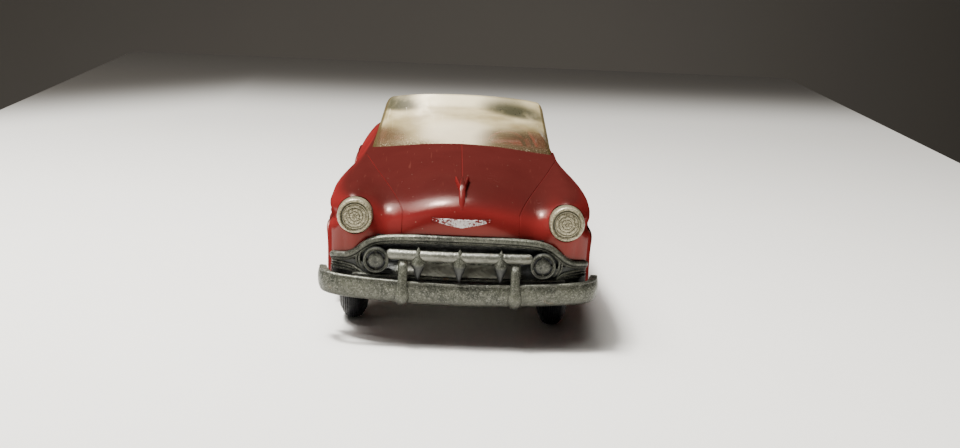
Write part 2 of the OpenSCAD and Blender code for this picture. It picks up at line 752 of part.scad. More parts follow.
// Crowned tyre: how far in from its outer radius, and how wide there as a share of the tyre
crown = [[0, 0.2], [0.2, 0.42], [0.6, 0.57], [1.4, 0.73], [2.4, 0.87], [3.6, 0.98], [4.6, 1], [5.1, 0.95]];
groove_w = 0.5;
groove_deep = 0.45;
module tyre(x, y) {
    h = tyre_w / 2;
    side = [for (c = crown) [tyre_r - c[0], h * c[1]]];
    last = len(side) - 1;
    color([0.1, 0.1, 0.1]) translate([x, y, tyre_r]) rotate([0, 90, 0]) rotate_extrude() difference() {
        polygon(concat(
            [[rim_r, h * 0.9]],
            [for (i = [last : -1 : 0]) side[i]],
            [for (i = [0 : last]) [side[i][0], -side[i][1]]],
            [[rim_r, -h * 0.9]]
        ));
        for (k = [-1.5 : 1 : 1.5])
            translate([tyre_r - groove_deep - 0.1 * k * k, k * 0.95 - groove_w / 2]) square([1, groove_w]);
    }
}

front_x = front_track / 2;
rear_x = rear_track / 2;
module front_wheel_left() { wheel_disc(front_axle_slide + front_x, front_y, 1); }
module front_wheel_right() { wheel_disc(front_axle_slide - front_x, front_y, -1); }
module front_tyre_left() { tyre(front_axle_slide + front_x, front_y); }
module front_tyre_right() { tyre(front_axle_slide - front_x, front_y); }
module rear_wheel_left() { wheel_disc(rear_x, rear_y, 1); }
module rear_wheel_right() { wheel_disc(-rear_x, rear_y, -1); }
module rear_tyre_left() { tyre(rear_x, rear_y); }
module rear_tyre_right() { tyre(-rear_x, rear_y); }

body_shell();
windscreen();
grille();
front_bumper();
rear_bumper();
headlamp_left();
headlamp_right();
tail_lamp_left();
tail_lamp_right();
interior_tub();
front_seat();
rear_seat();
dashboard();
steering_column();
steering_wheel();
chassis_plate();
chassis_screws();
motor_frame_left();
motor_frame_right();
motor_pillars();
motor_rivets();
front_axle();
front_wheel_left();
front_wheel_right();
front_tyre_left();
front_tyre_right();
rear_axle();
rear_wheel_left();
rear_wheel_right();
rear_tyre_left();
rear_tyre_right();
drive_gear();
idler_shaft();
idler_gear();
flywheel_shaft();
flywheel_pinion();
flywheel();
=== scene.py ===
"""Visual model of a friction-drive toy convertible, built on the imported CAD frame.

Shapes are worked out in millimetres in the part's own frame (X across, Y front to back, Z up) and
made in metres by mesh_object().
"""
import json
import math
import bpy
import numpy as np
from mathutils import Matrix, Vector
from mathutils.bvhtree import BVHTree


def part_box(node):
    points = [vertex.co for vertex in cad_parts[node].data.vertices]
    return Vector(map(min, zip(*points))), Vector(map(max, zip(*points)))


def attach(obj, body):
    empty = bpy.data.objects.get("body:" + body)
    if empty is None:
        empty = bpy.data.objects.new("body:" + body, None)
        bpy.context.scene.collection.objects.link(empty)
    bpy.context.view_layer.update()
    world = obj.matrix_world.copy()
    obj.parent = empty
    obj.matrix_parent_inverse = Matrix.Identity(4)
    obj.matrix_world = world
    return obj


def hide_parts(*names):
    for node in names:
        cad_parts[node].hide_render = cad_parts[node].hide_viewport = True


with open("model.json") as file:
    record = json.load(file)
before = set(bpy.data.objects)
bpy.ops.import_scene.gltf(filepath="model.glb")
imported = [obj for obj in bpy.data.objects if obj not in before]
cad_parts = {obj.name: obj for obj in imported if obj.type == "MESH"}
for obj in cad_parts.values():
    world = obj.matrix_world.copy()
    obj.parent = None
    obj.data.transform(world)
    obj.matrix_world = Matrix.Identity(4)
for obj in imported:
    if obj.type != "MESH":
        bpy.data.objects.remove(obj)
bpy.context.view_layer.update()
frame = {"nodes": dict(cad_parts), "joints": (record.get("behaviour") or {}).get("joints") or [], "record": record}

MM = 0.001


# ---- mesh helpers -------------------------------------------------------------------------------

def mesh_object(name, verts, faces, sharp=40):
    """A mesh object from points in millimetres, smooth but for edges sharper than the angle."""
    mesh = bpy.data.meshes.new(name)
    mesh.from_pydata((np.asarray(verts, float) * MM).tolist(), [], [list(map(int, f)) for f in faces])
    mesh.validate()
    mesh.polygons.foreach_set("use_smooth", [True] * len(mesh.polygons))
    mesh.set_sharp_from_angle(angle=math.radians(sharp))
    mesh.update()
    obj = bpy.data.objects.new(name, mesh)
    bpy.context.scene.collection.objects.link(obj)
    return obj


def grid_faces(rows, cols, close_rows=False, close_cols=False, start=0, flip=False):
    faces = []
    for i in range(rows if close_rows else rows - 1):
        for j in range(cols if close_cols else cols - 1):
            a, b = start + i * cols + j, start + i * cols + (j + 1) % cols
            k = (i + 1) % rows
            c, d = start + k * cols + (j + 1) % cols, start + k * cols + j
            faces.append((a, d, c, b) if flip else (a, b, c, d))
    return faces


def rim_order(rows, cols):
    """Indices of the points round the edge of a grid, in order."""
    low = list(range(cols - 1))
    right = [i * cols + cols - 1 for i in range(rows - 1)]
    high = [(rows - 1) * cols + j for j in range(cols - 1, 0, -1)]
    left = [i * cols for i in range(rows - 1, 0, -1)]
    return low + right + high + left


def grid_normals(p):
    return unit(np.cross(np.gradient(p, axis=1), np.gradient(p, axis=0)))


class Shells:
    """Several closed or open surfaces that become one object."""

    def __init__(self):
        self.verts, self.faces, self.shade = [], [], []

    def add(self, verts, faces, shade=0.0):
        start = len(self.verts)
        self.verts.extend(np.asarray(verts, float).tolist())
        self.faces.extend([[start + i for i in f] for f in faces])
        self.shade.extend([shade] * len(verts) if np.isscalar(shade) else list(shade))
        return self

    def rings(self, rings, shade=0.0):
        """A solid through rings of points with the same count."""
        r = np.asarray(rings, float)
        m, n = r.shape[:2]
        faces = grid_faces(m, n, close_cols=True)
        faces += [list(range(n))[::-1], [(m - 1) * n + j for j in range(n)]]
        if not np.isscalar(shade):
            shade = np.asarray(shade, float)
            shade = np.broadcast_to(shade if shade.ndim == 2 else shade[:, None], (m, n)).ravel()
        return self.add(r.reshape(-1, 3), faces, shade)

    def loop(self, rings):
        """A solid through rings of points that come back to the first ring."""
        r = np.asarray(rings, float)
        return self.add(r.reshape(-1, 3), grid_faces(*r.shape[:2], close_rows=True, close_cols=True))

    def object(self, name, sharp=40):
        obj = mesh_object(name, self.verts, self.faces, sharp)
        # the recess attribute darkens the finish where positive, as painted shade on the castings, lamps, tyres
        # and wheels, and lightens it where negative, as painted light
        layer = obj.data.attributes.new("recess", "FLOAT", "POINT")
        layer.data.foreach_set("value", np.asarray(self.shade, np.float32))
        return obj


def weights(t):
    """Weights of four control points along one span of a uniform cubic B-spline."""
    t = np.asarray(t, float)
    terms = [(1 - t) ** 3, 3 * t**3 - 6 * t * t + 4, -3 * t**3 + 3 * t * t + 3 * t + 1, t**3]
    return np.stack(terms, -1) / 6


def with_ends(p):
    p = np.asarray(p, float)
    return np.concatenate([[2 * p[0] - p[1]], p, [2 * p[-1] - p[-2]]])


def curve(points, n):
    """n points along a B-spline that starts and stops on its end control points."""
    q = with_ends(points)
    s = np.linspace(0, len(points) - 1, n)
    i = np.minimum(s.astype(int), len(points) - 2)
    w = weights(s - i)
    return sum(w[:, k, None] * q[i + k] for k in range(4))


def mirrored(half):
    """Control points for x >= 0, from the middle out, carried over to both sides."""
    half = np.asarray(half, float)
    return np.concatenate([half[:0:-1] * [-1, 1, 1], half])


def unit(v):
    v = np.asarray(v, float)
    return v / np.maximum(np.linalg.norm(v, axis=-1, keepdims=True), 1e-9)


def sweep_rings(path, profile, normals, scale=None):
    """Rings of a profile of [sideways, outward] points carried along a path with given outward normals."""
    path, normals = np.asarray(path, float), unit(normals)
    along = unit(np.gradient(path, axis=0))
    side = unit(np.cross(along, normals))
    out = np.cross(side, along)
    scale = np.ones(len(path)) if scale is None else np.asarray(scale, float)
    profile = np.asarray(profile, float)
    if profile.ndim == 2:
        profile = np.broadcast_to(profile, (len(path),) + profile.shape)
    p = profile * scale[:, None, None]
    return path[:, None] + p[..., :1] * side[:, None] + p[..., 1:] * out[:, None]


def rounded_ends(n, tip, reach=6):
    """Scale along a path that rounds off over its first and last few points."""
    i = np.arange(n)
    d = np.minimum(i, n - 1 - i) / reach
    return np.where(d >= 1, 1.0, tip + (1 - tip) * np.sqrt(np.clip(1 - (1 - d) ** 2, 0, 1)))


def circle(r, n):
    a = np.linspace(0, 2 * math.pi, n, endpoint=False)
    return np.stack([r * np.cos(a), r * np.sin(a)], -1)


def turned(profile, n, centre, axis, shade=None, closed=False):
    """Verts, faces and shade of a profile of [radius, height] points turned round an axis."""
    profile = np.asarray(profile, float)
    axis = unit(axis)
    side = unit(np.cross(axis, [0, 0, 1] if abs(axis[2]) < 0.9 else [1, 0, 0]))
    up = np.cross(axis, side)
    a = np.linspace(0, 2 * math.pi, n, endpoint=False)
    spoke = np.cos(a)[:, None] * side + np.sin(a)[:, None] * up
    rings = np.asarray(centre, float) + profile[:, :1, None] * spoke + profile[:, 1:, None] * axis
    faces = grid_faces(len(profile), n, close_rows=closed, close_cols=True)
    shade = np.zeros(len(profile)) if shade is None else np.asarray(shade, float)
    return rings.reshape(-1, 3), faces, np.repeat(shade, n)


def arc(centre, r, a0, a1, n):
    a = np.radians(np.linspace(a0, a1, n))
    return [[centre[0] + r * math.cos(t), centre[1] + r * math.sin(t)] for t in a]


def boolean(obj, operation, *others):
    """Cuts or joins the other meshes into obj, then removes them."""
    for other in others:
        m = obj.modifiers.new("boolean", "BOOLEAN")
        m.operation, m.solver, m.object = operation, "MANIFOLD", other
    bpy.context.view_layer.update()
    graph = bpy.context.evaluated_depsgraph_get()
    done = bpy.data.meshes.new_from_object(obj.evaluated_get(graph))
    obj.modifiers.clear()
    obj.data = done
    for other in others:
        bpy.data.objects.remove(other)


def prism(name, outline, lo, hi, axis=2):
    """A solid from a closed outline in the plane across the axis, between two heights."""
    outline = np.asarray(outline, float)
    n = len(outline)
    other = [k for k in range(3) if k != axis]
    verts = np.zeros((2 * n, 3))
    for k, h in enumerate((lo, hi)):
        verts[k * n:(k + 1) * n, other] = outline
        verts[k * n:(k + 1) * n, axis] = h
    faces = [list(range(n))[::-1], list(range(n, 2 * n))]
    faces += [(j, (j + 1) % n, n + (j + 1) % n, n + j) for j in range(n)]
    area = np.sum(outline[:, 0] * np.roll(outline[:, 1], -1) - np.roll(outline[:, 0], -1) * outline[:, 1])
    if (area < 0) != (axis == 1):
        faces = [f[::-1] for f in faces]
    return mesh_object(name, verts, faces)


def rounded_outline(points, r, n=6):
    """A closed outline with its corners rounded off by about r."""
    points = np.asarray(points, float)
    out = []
    for k, p in enumerate(points):
        before, after = points[k - 1], points[(k + 1) % len(points)]
        a = p + unit(before - p) * min(r, np.linalg.norm(before - p) / 2.01)
        b = p + unit(after - p) * min(r, np.linalg.norm(after - p) / 2.01)
        for t in np.linspace(0, 1, n):
            out.append((1 - t) ** 2 * a + 2 * t * (1 - t) * p + t * t * b)
    return np.array(out)


# ---- materials ----------------------------------------------------------------------------------

class Paint:
    """A node material with short calls for the nodes that the materials here share."""

    def __init__(self, name):
        self.mat = bpy.data.materials.new(name)
        self.mat.use_nodes = True
        self.tree = self.mat.node_tree
        self.shader = self.tree.nodes["Principled BSDF"]
        self.place = self.node("ShaderNodeTexCoord").outputs["Object"]

    def node(self, kind, **settings):
        n = self.tree.nodes.new(kind)
        for key, value in settings.items():
            setattr(n, key, value)
        return n

    def join(self, value, socket):
        if isinstance(value, bpy.types.NodeSocket):
            self.tree.links.new(value, socket)
        else:
            socket.default_value = (*value, 1) if hasattr(value, "__len__") and len(value) == 3 and \
                socket.type == "RGBA" else value

    def math(self, op, a, b=0.0, clamp=False):
        n = self.node("ShaderNodeMath", operation=op, use_clamp=clamp)
        self.join(a, n.inputs[0])
        self.join(b, n.inputs[1])
        return n.outputs[0]

    def mul(self, a, b):
        return self.math("MULTIPLY", a, b)

    def add(self, a, b):
        return self.math("ADD", a, b)

    def sub(self, a, b):
        return self.math("SUBTRACT", a, b)

    def noise(self, size, detail=3, rough=0.55, stretch=(1, 1, 1), shift=0.0, twist=0.0):
        """Noise with features about size millimetres across."""
        m = self.node("ShaderNodeMapping")
        self.join(self.place, m.inputs["Vector"])
        m.inputs["Scale"].default_value = stretch
        m.inputs["Location"].default_value = (shift, shift * 1.7, shift * 0.6)
        n = self.node("ShaderNodeTexNoise")
        self.join(m.outputs[0], n.inputs["Vector"])
        n.inputs["Scale"].default_value = 1 / (size * MM)
        n.inputs["Detail"].default_value = detail
        n.inputs["Roughness"].default_value = rough
        n.inputs["Distortion"].default_value = twist
        return n.outputs["Fac"]

    def cells(self, size, shift=0.0):
        """Distance from the middle of the nearest of many cells about size millimetres across."""
        m = self.node("ShaderNodeMapping")
        self.join(self.place, m.inputs["Vector"])
        m.inputs["Location"].default_value = (shift, shift, shift)
        n = self.node("ShaderNodeTexVoronoi", feature="F1")
        self.join(m.outputs[0], n.inputs["Vector"])
        n.inputs["Scale"].default_value = 1 / (size * MM)
        return n.outputs["Distance"]

    def ramp(self, value, lo, hi, a=0.0, b=1.0):
        """Value from lo to hi becomes a to b, smoothly."""
        n = self.node("ShaderNodeMapRange", interpolation_type="SMOOTHSTEP")
        self.join(value, n.inputs["Value"])
        for key, v in zip(("From Min", "From Max", "To Min", "To Max"), (lo, hi, a, b)):
            self.join(v, n.inputs[key])
        return n.outputs[0]

    def mix(self, fac, a, b):
        n = self.node("ShaderNodeMix", data_type="RGBA")
        self.join(fac, n.inputs["Factor"])
        self.join(a, n.inputs["A"])
        self.join(b, n.inputs["B"])
        return n.outputs["Result"]

    def axes(self):
        n = self.node("ShaderNodeSeparateXYZ")
        self.join(self.place, n.inputs[0])
        return n.outputs

    def facing(self):
        n = self.node("ShaderNodeSeparateXYZ")
        self.join(self.node("ShaderNodeNewGeometry").outputs["Normal"], n.inputs[0])
        return n.outputs

    def attribute(self, name):
        return self.node("ShaderNodeAttribute", attribute_name=name).outputs["Fac"]

    def bump(self, height, depth, strength=1.0):
        """Bump from a height of 0 to 1 that stands for depth millimetres."""
        n = self.node("ShaderNodeBump")
        n.inputs["Distance"].default_value = depth * MM
        n.inputs["Strength"].default_value = strength
        self.join(height, n.inputs["Height"])
        self.join(n.outputs[0], self.shader.inputs["Normal"])

    def set(self, **sockets):
        for key, value in sockets.items():
            self.join(value, self.shader.inputs[key.replace("_", " ")])


def badge_mask(p):
    """1 on the plain lozenge of worn white paint on the nose."""
    x, y, z = p.axes()
    wide = p.math("DIVIDE", p.math("ABSOLUTE", x), BADGE_HALF * MM)
    left = p.math("SUBTRACT", 1.0, wide, clamp=True)
    drop = p.mul(p.math("POWER", left, 0.6), -BADGE_DROP * MM)
    wobble = p.mul(p.sub(p.noise(0.9, 4, 0.7), 0.5), 0.8 * MM)
    z = p.add(z, wobble)
    below = p.ramp(p.sub(BADGE_TOP * MM, z), 0.0, 0.12 * MM)
    above = p.ramp(p.sub(z, p.add(drop, (BADGE_TOP - BADGE_END) * MM)), 0.0, 0.12 * MM)
    front = p.ramp(y, -0.088, -0.09)
    inside = p.ramp(wide, 0.99, 0.93)
    ragged = p.add(p.noise(0.7, 5, 0.75, shift=3.0), p.mul(wide, 0.13))
    worn = p.ramp(ragged, 0.61, 0.55)
    mask = p.mul(p.mul(below, above), p.mul(front, inside))
    return p.mul(mask, worn)


def red_plastic():
    p = Paint("red_plastic_worn")
    up = p.facing()[2]
    tone = p.ramp(p.noise(34, 2), 0.35, 0.65)
    base = p.mix(tone, (0.135, 0.0118, 0.0115), (0.172, 0.0162, 0.0152))
    # upward faces are painted darker and browner as painted shade, for the dark room they reflect, and dust makes
    # them a little rougher
    dust_and_painted_shade = p.ramp(up, 0.45, 0.97)
    top = p.mix(p.noise(12, 4), (0.04, 0.0068, 0.006), (0.057, 0.0105, 0.009))
    base = p.mix(dust_and_painted_shade, base, top)
    specks = p.ramp(p.cells(2.6), 0.085, 0.05)
    few = p.mul(specks, p.ramp(p.noise(6, 2, shift=1.0), 0.5, 0.56))
    base = p.mix(p.mul(few, 0.3), base, (0.3, 0.2, 0.15))
    hair = p.ramp(p.noise(0.5, 2, 0.4, stretch=(1, 0.05, 0.3), shift=0.2, twist=0.6), 0.7, 0.76)
    base = p.mix(p.mul(hair, 0.08), base, (0.3, 0.1, 0.07))
    white = badge_mask(p)
    base = p.mix(white, base, p.mix(p.noise(0.5, 4), (0.42, 0.4, 0.4), (0.75, 0.73, 0.73)))
    rough = p.add(p.ramp(p.noise(5, 5, 0.6), 0.3, 0.75, 0.17, 0.23), p.mul(dust_and_painted_shade, 0.05))
    rough = p.add(rough, p.mul(white, 0.25))
    turned_away = p.node("ShaderNodeLayerWeight").outputs["Facing"]
    gloss = p.ramp(turned_away, 0.3, 0.7, 0.34, 0.0)
    p.set(Base_Color=base, Roughness=rough, Specular_IOR_Level=gloss, Specular_Tint=(1.0, 0.6, 0.5))
    relief = p.add(p.mul(white, 1.2), p.mul(hair, -0.3))
    p.bump(p.add(p.noise(1.3, 4), relief), 0.05, 0.4)
    return p.mat


def clear_plastic():
    """Yellowed and hazy, darker in patches inside its upper corners, and with a stained foot."""
    p = Paint("clear_plastic_yellowed")
    x, _, z = p.axes()
    bow = p.mul(p.math("POWER", p.math("ABSOLUTE", x), 2.0), 4.0)
    height = p.ramp(p.add(z, bow), GLASS_FOOT + 0.001, GLASS_HEAD)

    def blot(x0, h0, half_x, half_h, slope):
        """1 in the middle of a soft oval, 0 well outside it."""
        across = p.sub(x, x0 * MM)
        up = p.sub(p.sub(height, h0), p.mul(across, slope / MM))
        ax = p.math("POWER", p.math("ABSOLUTE", p.math("DIVIDE", across, half_x * MM)), 2.0)
        ah = p.math("POWER", p.math("ABSOLUTE", p.math("DIVIDE", up, half_h)), 2.0)
        return p.ramp(p.add(ax, ah), 1.6, 0.1)

    streaks = p.noise(6, 3, 0.5, stretch=(0.35, 1, 1.6), shift=0.4)
    base = p.mix(p.ramp(streaks, 0.34, 0.66), (0.34, 0.27, 0.13), (0.62, 0.52, 0.3))
    # a pale band along the top and a pale patch low in the middle are painted highlights
    base = p.mix(blot(-2, 1.0, 20, 0.12, 0), base, (0.86, 0.75, 0.48))
    base = p.mix(p.mul(blot(-1, 0.25, 11, 0.34, 0), 0.8), base, (0.97, 0.85, 0.6))
    # dark patches inside the upper corners
    dark_corners = p.math("MAXIMUM", blot(-19.5, 0.93, 7, 0.12, -0.004), blot(16, 0.88, 10.5, 0.13, -0.004))
    dark_corners = p.mul(dark_corners, p.ramp(p.noise(5, 3, 0.5, shift=5.1), 0.2, 0.5, 0.6, 1.0))
    base = p.mix(p.mul(dark_corners, 0.95), base, (0.04, 0.04, 0.023))
    # the foot is stained red-brown towards its ends, and its lowest strip is dirty
    stain = p.math("MAXIMUM", blot(-27, 0.2, 11, 0.3, 0), blot(23, 0.15, 17, 0.36, 0))
    base = p.mix(p.mul(stain, 0.85), base, (0.105, 0.052, 0.026))
    grit = p.ramp(p.noise(0.6, 4, 0.8), 0.35, 0.6, 0.35, 1)
    away = p.ramp(p.math("ABSOLUTE", x), 0.003, 0.014)
    foot = p.mul(p.mul(p.ramp(height, 0.16, 0.06), away), grit)
    base = p.mix(foot, base, (0.10, 0.07, 0.035))
    specks = p.mul(p.ramp(height, 0.3, 0.1), p.ramp(p.noise(0.45, 3, 0.7, shift=6.0), 0.56, 0.66))
    base = p.mix(p.mul(specks, 0.3), base, (0.98, 0.85, 0.62))
    fleck = p.ramp(p.cells(4.4, shift=0.3), 0.055, 0.03)
    base = p.mix(p.mul(fleck, 0.7), base, (0.1, 0.06, 0.035))
    scratch = p.ramp(p.noise(1.2, 2, 0.4, stretch=(1, 0.1, 0.16), shift=2.2, twist=1.5), 0.7, 0.74)
    base = p.mix(p.mul(scratch, 0.25), base, (0.9, 0.8, 0.6))
    edge = p.mul(p.attribute("recess"), 0.95)
    haze = p.ramp(p.noise(12, 3, shift=2.0), 0.3, 0.7, 0.84, 0.92)
    haze = p.sub(haze, p.mul(blot(14.5, 0.2, 9.5, 0.42, 0), 0.2))
    haze = p.sub(haze, p.mul(p.mul(stain, 0.4), p.sub(1.0, foot)))
    alpha = p.math("MAXIMUM", haze, p.mul(edge, 0.97))
    p.set(Base_Color=p.mix(edge, base, (0.075, 0.055, 0.022)), Alpha=alpha,
          Roughness=p.ramp(p.noise(3, 4), 0.3, 0.7, 0.2, 0.34), Specular_IOR_Level=0.14,
          Specular_Tint=(1.0, 0.86, 0.62))
    p.bump(p.noise(2.5, 4), 0.04, 0.4)
    return p.mat


def casting():
    p = Paint("speckled_casting")
    cloud = p.ramp(p.noise(9, 4, 0.65), 0.36, 0.66)
    base = p.mix(cloud, (0.034, 0.038, 0.028), (0.105, 0.11, 0.08))
    patch = p.ramp(p.noise(1.7, 4, 0.7, shift=5.0), 0.4, 0.64)
    base = p.mix(p.mul(patch, 0.5), base, (0.21, 0.212, 0.17))
    light = p.ramp(p.noise(0.42, 3, 0.7), 0.5, 0.64)
    base = p.mix(p.mul(light, 0.42), base, (0.46, 0.455, 0.39))
    dark = p.ramp(p.noise(0.55, 3, 0.7, shift=9.0), 0.5, 0.62)
    base = p.mix(p.mul(dark, 0.45), base, (0.022, 0.023, 0.019))
    pits = p.ramp(p.cells(1.1), 0.2, 0.1)
    pitted = p.mul(pits, p.ramp(p.noise(5, 2, shift=2.0), 0.5, 0.6))
    base = p.mix(p.mul(pitted, 0.7), base, (0.02, 0.02, 0.016))
    rust = p.mul(p.ramp(p.noise(3.2, 3, shift=7.3), 0.68, 0.74), 0.4)
    base = p.mix(rust, base, (0.24, 0.14, 0.06))
    # painted shade: faces that turn downwards are darkened
    under = p.ramp(p.facing()[2], 0.35, -0.5, 0, 0.75)
    base = p.mix(under, base, (0.02, 0.02, 0.017))
    # painted light where the recess attribute is negative, on parts the light should reach, and painted shade
    # where it is positive
    painted_shade_and_light = p.attribute("recess")
    painted_light = p.ramp(painted_shade_and_light, 0.0, -1.0)
    base = p.mix(painted_light, base, p.mix(cloud, (0.3, 0.3, 0.25), (0.62, 0.62, 0.54)))
    black = p.mix(p.noise(0.6, 3), (0.014, 0.015, 0.018), (0.045, 0.047, 0.05))
    base = p.mix(p.math("MAXIMUM", painted_shade_and_light, 0.0), base, black)
    rough = p.ramp(p.noise(1.0, 4), 0.3, 0.7, 0.3, 0.5)
    p.set(Base_Color=base, Roughness=rough, Metallic=0.55)
    lumps = p.add(p.noise(0.5, 4, 0.7), p.mul(p.noise(1.6, 3, 0.6, shift=3.0), 1.2))
    p.bump(p.add(lumps, p.mul(pitted, -0.8)), 0.16, 0.6)
    return p.mat


def lamp_lens():
    p = Paint("lamp_lens_tarnished")
    tone = p.ramp(p.noise(0.35, 4, 0.75), 0.38, 0.6)
    base = p.mix(tone, (0.13, 0.115, 0.06), (0.54, 0.49, 0.34))
    # painted shade between the beads and under the bezel
    base = p.mix(p.attribute("recess"), base, (0.035, 0.033, 0.017))
    p.set(Base_Color=base, Roughness=p.ramp(p.noise(1.0, 3), 0.3, 0.7, 0.25, 0.42), Metallic=0.3)
    p.bump(p.noise(0.4, 4), 0.09, 0.8)
    return p.mat


def tail_lens():
    p = Paint("tail_lens_red")
    base = p.mix(p.noise(1.2, 3), (0.19, 0.008, 0.008), (0.34, 0.02, 0.016))
    p.set(Base_Color=base, Roughness=p.ramp(p.noise(1.0, 3), 0.3, 0.7, 0.15, 0.3), Coat_Weight=0.4)
    p.bump(p.noise(0.8, 3), 0.02, 0.4)
    return p.mat


def tyre_rubber():
    p = Paint("tyre_rubber_ribbed")
    base = p.mix(p.noise(2.2, 4), (0.002, 0.0022, 0.0033), (0.0066, 0.007, 0.0092))
    dust = p.mul(p.ramp(p.noise(1.0, 4, shift=3.0), 0.52, 0.7), 0.2)
    base = p.mix(dust, base, (0.05, 0.048, 0.045))
    # painted shade in the grooves between the ribs
    base = p.mix(p.attribute("recess"), base, (0.001, 0.001, 0.0015))
    p.set(Base_Color=base, Roughness=p.ramp(p.noise(1.2, 3), 0.3, 0.7, 0.42, 0.62), Specular_IOR_Level=0.3)
    p.bump(p.noise(0.5, 4), 0.03, 0.6)
    return p.mat


def wheel_plate():
    p = Paint("wheel_plate_worn")
    base = p.mix(p.noise(2.5, 4), (0.36, 0.35, 0.32), (0.62, 0.61, 0.58))
    base = p.mix(p.ramp(p.noise(1.0, 4, shift=4.0), 0.62, 0.72, 0, 0.6), base, (0.14, 0.1, 0.07))
    # painted shade in the folds and on the back of the disc
    base = p.mix(p.attribute("recess"), base, (0.1, 0.095, 0.085))
    p.set(Base_Color=base, Roughness=p.ramp(p.noise(1.2, 3), 0.3, 0.7, 0.25, 0.42), Metallic=0.8)
    p.bump(p.noise(0.8, 3), 0.02, 0.5)
    return p.mat


def bare_metal(name, dark, light, rough=(0.3, 0.5), brushed=(1, 0.12, 1)):
    p = Paint(name)
    lines = p.noise(0.8, 4, 0.6, stretch=brushed)
    base = p.mix(lines, dark, light)
    stain = p.ramp(p.noise(5, 4, shift=1.5), 0.55, 0.75, 0, 0.55)
    base = p.mix(stain, base, tuple(c * 0.35 for c in dark))
    p.set(Base_Color=base, Roughness=p.ramp(lines, 0.3, 0.7, *rough), Metallic=0.85)
    p.bump(lines, 0.02, 0.5)
    return p.mat


# ---- body ---------------------------------------------------------------------------------------

def middle(lo, hi):
    """Middle of a box from the CAD and half its width, in millimetres."""
    return (lo + hi) / 2 / MM, (hi.x - lo.x) / 2 / MM


# badge: half its width, height of its top edge, its depth at the ends and how much deeper the middle is
BADGE_HALF = 8.0
BADGE_TOP = 34.6
BADGE_END = 0.35
BADGE_DROP = 2.1

